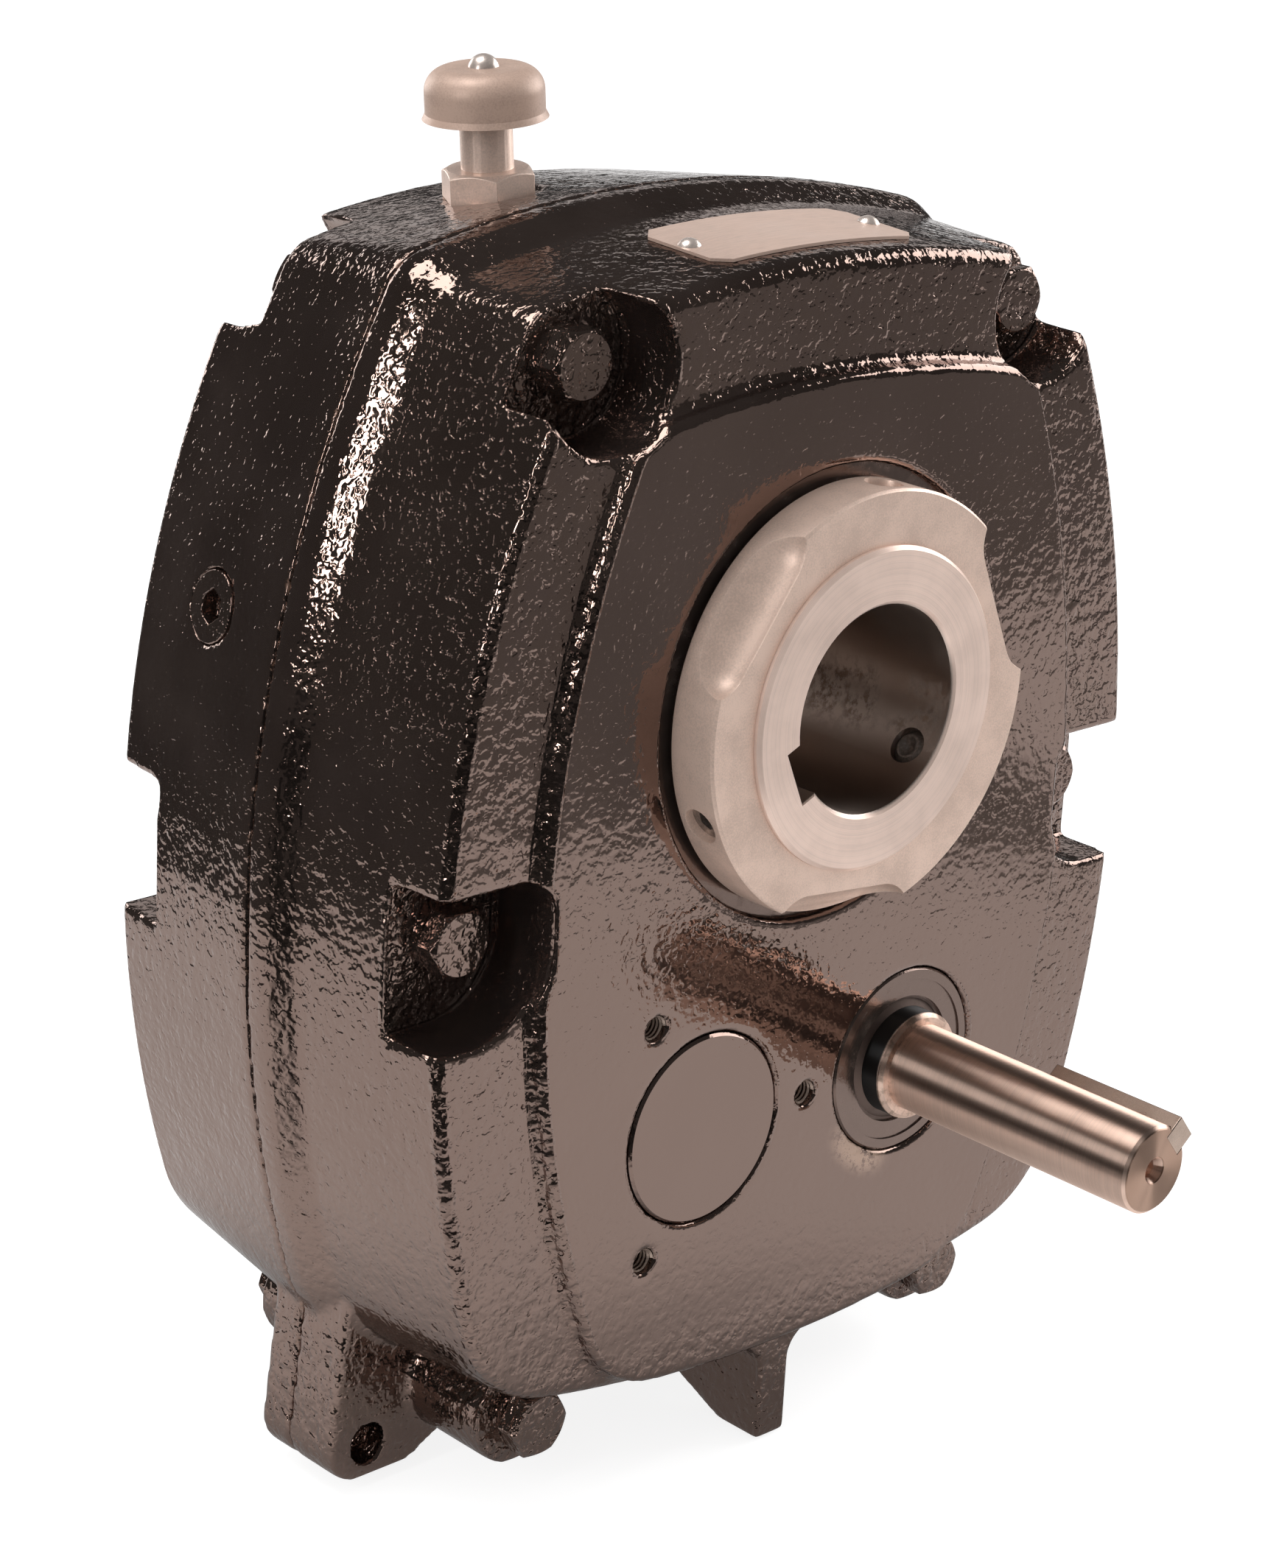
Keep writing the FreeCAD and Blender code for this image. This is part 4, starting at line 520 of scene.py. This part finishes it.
def rubber(name, axis, lip_radius=0.0):
    """Black seal: a glossy outer ring with a little dust, and a dull black rubber lip inside this
    radius, painted darker as shade of the recess.
    """
    s = Surface(name, IOR=SEAL_IOR, Specular_IOR_Level=1.0, Specular_Tint=(*ENAMEL_SHEEN, 1.0))
    dust = s.fade(s.noise(DUST_SIZE, detail=5.0, roughness=0.65), *DUST_RANGE)
    # Painted shade: the rubber lip is painted darker than the seal, as the shaded recess round the shaft
    lip = s.fade(s.radius(axis), lip_radius + LIP_EDGE, lip_radius - LIP_EDGE)
    s.paint(
        Base_Color=s.mix(lip, s.mix(dust, RUBBER, DUSTY_RUBBER), RECESS_SHADE_BLACK),
        Roughness=s.plus(s.between(dust, *SEAL_ROUGHNESS), s.times(lip, LIP_DULLNESS)),
        Normal=s.bump(s.noise(SEAL_GRAIN), SEAL_GRAIN_DEPTH),
    )
    return s.material


# Which piece has which finish

casing_enamel = enamel("casing_enamel", stained=True)
disc_enamel = enamel("disc_enamel", sand=0.35)
fastener_enamel = enamel("fastener_enamel", sand=1.5)
gear_steel = turned("gear_steel", GEAR_STEEL, OUTPUT_AXIS, roughness=0.26).material
bearing_steel = turned("bearing_steel", BEARING_STEEL, OUTPUT_AXIS, roughness=0.16).material
key_steel = satin("key_steel", KEY_STEEL, roughness=0.26, grain=0.3 * MM)
thread_steel = satin("thread_steel", KEY_STEEL, roughness=0.30, metallic=0.6)
collar_steel = satin("collar_steel", COLLAR_STEEL, roughness=0.38, metallic=0.5)
rivet_steel = satin("rivet_steel", BRIGHT_RIVET, roughness=0.24, metallic=0.7)
hub_rubber = rubber("hub_rubber", OUTPUT_AXIS)

CAST = ("front_casing", "rear_casing")
PAINTED = ("casing_bolts", "spring_washers", "casing_nuts", "oil_plugs")
MATERIALS = {
    "output_hub": hub_steel(),
    "front_collar": collar_steel,
    "rear_collar": collar_steel,
    "collar_set_screws": black_oxide(),
    "front_hub_seal": hub_rubber,
    "rear_hub_seal": hub_rubber,
    "input_seal": rubber("input_rubber", INPUT_AXIS, INPUT_LIP),
    "input_shaft": shaft_steel(),
    "vent_body": satin("vent_zinc", VENT_ZINC, roughness=0.34, metallic=0.55),
    "vent_cap": satin("cap_zinc", CAP_ZINC, roughness=0.42, metallic=0.25),
    "vent_rivet": rivet_steel,
    "nameplate": brushed_plate(),
    "nameplate_rivets": rivet_steel,
}


def material_for(label):
    if label in MATERIALS:
        return MATERIALS[label]
    if label in CAST:
        return casing_enamel
    if label in PAINTED:
        return fastener_enamel
    if label.endswith("_disc"):
        return disc_enamel
    if label.endswith("_key"):
        return key_steel
    if "bearing" in label:
        return bearing_steel
    return gear_steel


for label, item in nodes.items():
    item.data.materials.clear()
    item.data.materials.append(material_for(label))

# Soft edges: the castings take the roundness of sand moulds, machined pieces a small break

CAST_VOXEL = 1.0 * MM
CAST_SMOOTHING = 10
BREAK_SEGMENTS = 3
BREAK_ANGLE = math.radians(32)
FLAT_ANGLE = math.radians(1)
WELD_GAP = 0.01 * MM
EDGE_BREAKS = {
    "casing_bolts": 0.7 * MM,
    "casing_nuts": 0.5 * MM,
    "oil_plugs": 0.5 * MM,
    "input_key": 0.3 * MM,
    "vent_body": 0.35 * MM,
    "front_collar": 0.4 * MM,
    "rear_collar": 0.4 * MM,
}


def round_casting(item):
    """Rounds every edge of a casting by about a voxel or two."""
    melt = item.modifiers.new("cast_edges", "REMESH")
    melt.mode = "VOXEL"
    melt.voxel_size = CAST_VOXEL
    melt.use_smooth_shade = True
    soften = item.modifiers.new("cast_softening", "SMOOTH")
    soften.iterations = CAST_SMOOTHING


def break_edges(item, width):
    """Welds the facets into whole faces and bevels the sharp edges between them."""
    weld = item.modifiers.new("weld", "WELD")
    weld.merge_threshold = WELD_GAP
    flats = item.modifiers.new("flats", "DECIMATE")
    flats.decimate_type = "DISSOLVE"
    flats.angle_limit = FLAT_ANGLE
    bevel = item.modifiers.new("edge_break", "BEVEL")
    bevel.width = width
    bevel.segments = BREAK_SEGMENTS
    bevel.limit_method = "ANGLE"
    bevel.angle_limit = BREAK_ANGLE
    bevel.harden_normals = True


for label in CAST:
    round_casting(nodes[label])
for label, width in EDGE_BREAKS.items():
    break_edges(nodes[label], width)

# Threads in the three tapped holes for a backstop

backstop = mounts["backstop_holes"]["dims"]
HOLE_RADIUS = backstop["hole_r_mm"] * MM
HOLE_CIRCLE_RADIUS = backstop["pcd_mm"] / 2 * MM
HOLE_COUNT = backstop["count"]
THREAD_START = 0.6 * MM
THREAD_PITCH = 1.25 * MM
THREAD_DEPTH = 0.45 * MM
THREAD_TURNS = 9
STEPS_PER_TURN = 40


def tapped_thread(name, x, z):
    """The helical ridge of a thread inside a hole, from just inside the face inwards."""
    section = (
        (HOLE_RADIUS, 0.0),
        (HOLE_RADIUS - THREAD_DEPTH, THREAD_PITCH / 2),
        (HOLE_RADIUS, THREAD_PITCH),
    )
    shape = bmesh.new()
    rows = []
    for step in range(THREAD_TURNS * STEPS_PER_TURN + 1):
        turns = step / STEPS_PER_TURN
        angle = 2 * math.pi * turns
        start = FACE_Y + THREAD_START + THREAD_PITCH * turns
        rows.append([
            shape.verts.new((x + reach * math.cos(angle), start + along, z + reach * math.sin(angle)))
            for reach, along in section
        ])
    for before, after in zip(rows, rows[1:]):
        for index in range(len(section) - 1):
            shape.faces.new((before[index], before[index + 1], after[index + 1], after[index]))
    bmesh.ops.recalc_face_normals(shape, faces=shape.faces)
    mesh = bpy.data.meshes.new(name)
    shape.to_mesh(mesh)
    shape.free()
    mesh.materials.append(thread_steel)
    piece = bpy.data.objects.new(name, mesh)
    bpy.context.collection.objects.link(piece)
    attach(piece, "casing")


for index in range(HOLE_COUNT):
    angle = 2 * math.pi * index / HOLE_COUNT
    tapped_thread(
        f"backstop_thread_{index + 1}",
        LAYSHAFT_AXIS[0] + HOLE_CIRCLE_RADIUS * math.cos(angle),
        LAYSHAFT_AXIS[1] + HOLE_CIRCLE_RADIUS * math.sin(angle),
    )

# Floor: white to the camera; shiny surfaces see it glow with painted light and shade, a painted pool of
# light round the object and painted shadows

FLOOR_RADIUS = 8.0
FLOOR_SEGMENTS = 96
FLOOR_GAP = 0.5 * MM
FLOOR_GLOW = 0.84
# Painted shadow on the floor under the object, as shiny surfaces see it
PAINTED_SHADOW_REACH = (0.08, 0.20)
PAINTED_SHADOW_LEVEL = 0.28
# Painted pool of light on the floor, round the object and reaching to the right, and its painted dim
# levels beyond the edge
PAINTED_POOL_EDGE = (0.51, 0.56)
PAINTED_POOL_RIGHT = (0.47, 0.51)
PAINTED_POOL_FRONT = (-0.62, -0.57)
PAINTED_DIM_SIDES = (-0.1, 0.1)
PAINTED_DIM_LEVELS = (0.055, 0.23)
# Painted shadow: a dark patch on the floor in front of the object on the left
DARK_SIDE = (-0.12, -0.04)
DARK_FRONT = (-0.03, 0.02)
DARK_START = (0.21, 0.31)
DARK_LEVEL = 0.03


def painted_light_patch(s):
    """Painted light and shade on the floor for shiny surfaces: a painted pool of light round the object
    and to the right, a painted shadow under it, and a painted dark patch in front on the left.
    """
    away = s.length(s.place)
    # Painted light: a pool of light round the object and to the right, dimmer beyond its edge and
    # dimmest to the left
    painted_dim = s.fade(s.x, *PAINTED_DIM_SIDES, *PAINTED_DIM_LEVELS)
    near = s.fade(away, *PAINTED_POOL_EDGE, 1.0, painted_dim)
    right = s.times(s.fade(s.x, *PAINTED_POOL_RIGHT), s.fade(s.y, *PAINTED_POOL_FRONT))
    # Painted shadow under the object and a painted dark patch in front of it on the left
    painted_shadow = s.fade(away, *PAINTED_SHADOW_REACH, PAINTED_SHADOW_LEVEL, 1.0)
    beside = s.fade(s.x, *DARK_SIDE, DARK_LEVEL, 1.0)
    behind = s.fade(s.y, *DARK_FRONT, DARK_LEVEL, 1.0)
    close = s.fade(away, *DARK_START, 1.0, DARK_LEVEL)
    clear_of_dark = s.larger(s.larger(beside, behind), close)
    return s.times(s.larger(near, right), painted_shadow, clear_of_dark)


def floor_white():
    """Paper that glows evenly for the camera and takes the object's shadow; in mirrors it glows with
    painted light and shade.
    """
    s = Surface("floor_white")
    ray = s.add("LightPath").outputs
    camera_ray = ray["Is Camera Ray"]
    mirrored = s.larger(ray["Is Glossy Ray"], ray["Is Transmission Ray"])
    # In mirrors the floor glows with painted light and shade, not with light from the lamps
    glow = s.larger(s.times(camera_ray, FLOOR_GLOW), s.times(mirrored, painted_light_patch(s)))
    emission = s.add("Emission", {"Color": (*WHITE, 1.0), "Strength": glow})
    shade = s.mix(camera_ray, PAPER_GREY, SHADOW_GREY)
    paper = s.add("BsdfDiffuse", {"Color": s.mix(mirrored, shade, BLACK)})
    both = s.add("AddShader", {0: emission.outputs[0], 1: paper.outputs[0]})
    s.links.new(both.outputs[0], s.nodes["Material Output"].inputs["Surface"])
    return s.material


shape = bmesh.new()
bmesh.ops.create_circle(shape, cap_ends=True, segments=FLOOR_SEGMENTS, radius=FLOOR_RADIUS)
floor_mesh = bpy.data.meshes.new("floor")
shape.to_mesh(floor_mesh)
shape.free()
floor_mesh.materials.append(floor_white())
floor = bpy.data.objects.new("floor", floor_mesh)
floor.location.z = FLOOR_Z - FLOOR_GAP
bpy.context.collection.objects.link(floor)

# World: white to the camera, an even fill for dull surfaces, a dim room for shiny ones

ROOM_GREY = 0.05
FILL_GREY = 0.72

world = bpy.data.worlds.new("studio")
bpy.context.scene.world = world
world.use_nodes = True
tree = world.node_tree
background = tree.nodes["Background"]
path = tree.nodes.new("ShaderNodeLightPath").outputs


def level(ray_kind, others, this):
    """One strength for a kind of ray and another for the rest."""
    blend = tree.nodes.new("ShaderNodeMix")
    tree.links.new(path[ray_kind], blend.inputs["Factor"])
    for socket, value in ((blend.inputs["A"], others), (blend.inputs["B"], this)):
        if isinstance(value, float):
            socket.default_value = value
        else:
            tree.links.new(value, socket)
    return blend.outputs["Result"]


room = level("Is Camera Ray", level("Is Diffuse Ray", ROOM_GREY, FILL_GREY), 1.0)
tree.links.new(room, background.inputs["Strength"])
background.inputs["Color"].default_value = (*WHITE, 1.0)

# Lamps: places and sizes in metres, power in watts

CENTRE = (0.0, 0.0, 0.0)
ABOVE_REAR = (0.0, 0.05, 0.18)


def softbox(name, place, size, power, aim=CENTRE):
    """A rectangular lamp that faces a point."""
    lamp = bpy.data.lights.new(name, "AREA")
    lamp.shape = "RECTANGLE"
    lamp.size, lamp.size_y = size
    lamp.energy = power
    item = bpy.data.objects.new(name, lamp)
    item.location = place
    item.rotation_euler = (Vector(aim) - Vector(place)).to_track_quat("-Z", "Y").to_euler()
    bpy.context.collection.objects.link(item)


softbox("key", place=(-1.35, -0.06, 0.52), size=(0.12, 0.60), power=3.5)
softbox("side", place=(1.45, -0.25, 0.60), size=(1.3, 0.9), power=16.0)
softbox("overhead", place=(-0.45, 0.35, 1.45), size=(0.9, 0.9), power=14.0)
softbox("backdrop", place=(1.05, 1.2, 0.54), size=(1.2, 0.3), power=0.8, aim=ABOVE_REAR)
softbox("back", place=(0.0, 1.5, 0.35), size=(0.7, 0.7), power=6.0)

# Camera

UP = Vector((0.0, 0.0, 1.0))

azimuth = math.radians(CAMERA_AZIMUTH)
elevation = math.radians(CAMERA_ELEVATION)
roll = math.radians(CAMERA_ROLL)
towards_eye = Vector((
    math.sin(azimuth) * math.cos(elevation),
    -math.cos(azimuth) * math.cos(elevation),
    math.sin(elevation),
))
level_line = UP.cross(towards_eye).normalized()
upright = towards_eye.cross(level_line)
right_hand = level_line * math.cos(roll) + upright * math.sin(roll)
head = upright * math.cos(roll) - level_line * math.sin(roll)
turn = Matrix((right_hand, head, towards_eye)).transposed().to_4x4()

camera_data = bpy.data.cameras.new("camera")
camera_data.sensor_fit = "VERTICAL"
camera_data.sensor_height = SENSOR_HEIGHT
camera_data.lens = CAMERA_LENS
camera_data.clip_start = CAMERA_CLIP
camera = bpy.data.objects.new("camera", camera_data)
camera.matrix_world = Matrix.Translation(CAMERA_TARGET + towards_eye * CAMERA_DISTANCE) @ turn
bpy.context.collection.objects.link(camera)
bpy.context.scene.camera = camera
bpy.context.scene.view_settings.view_transform = "Standard"
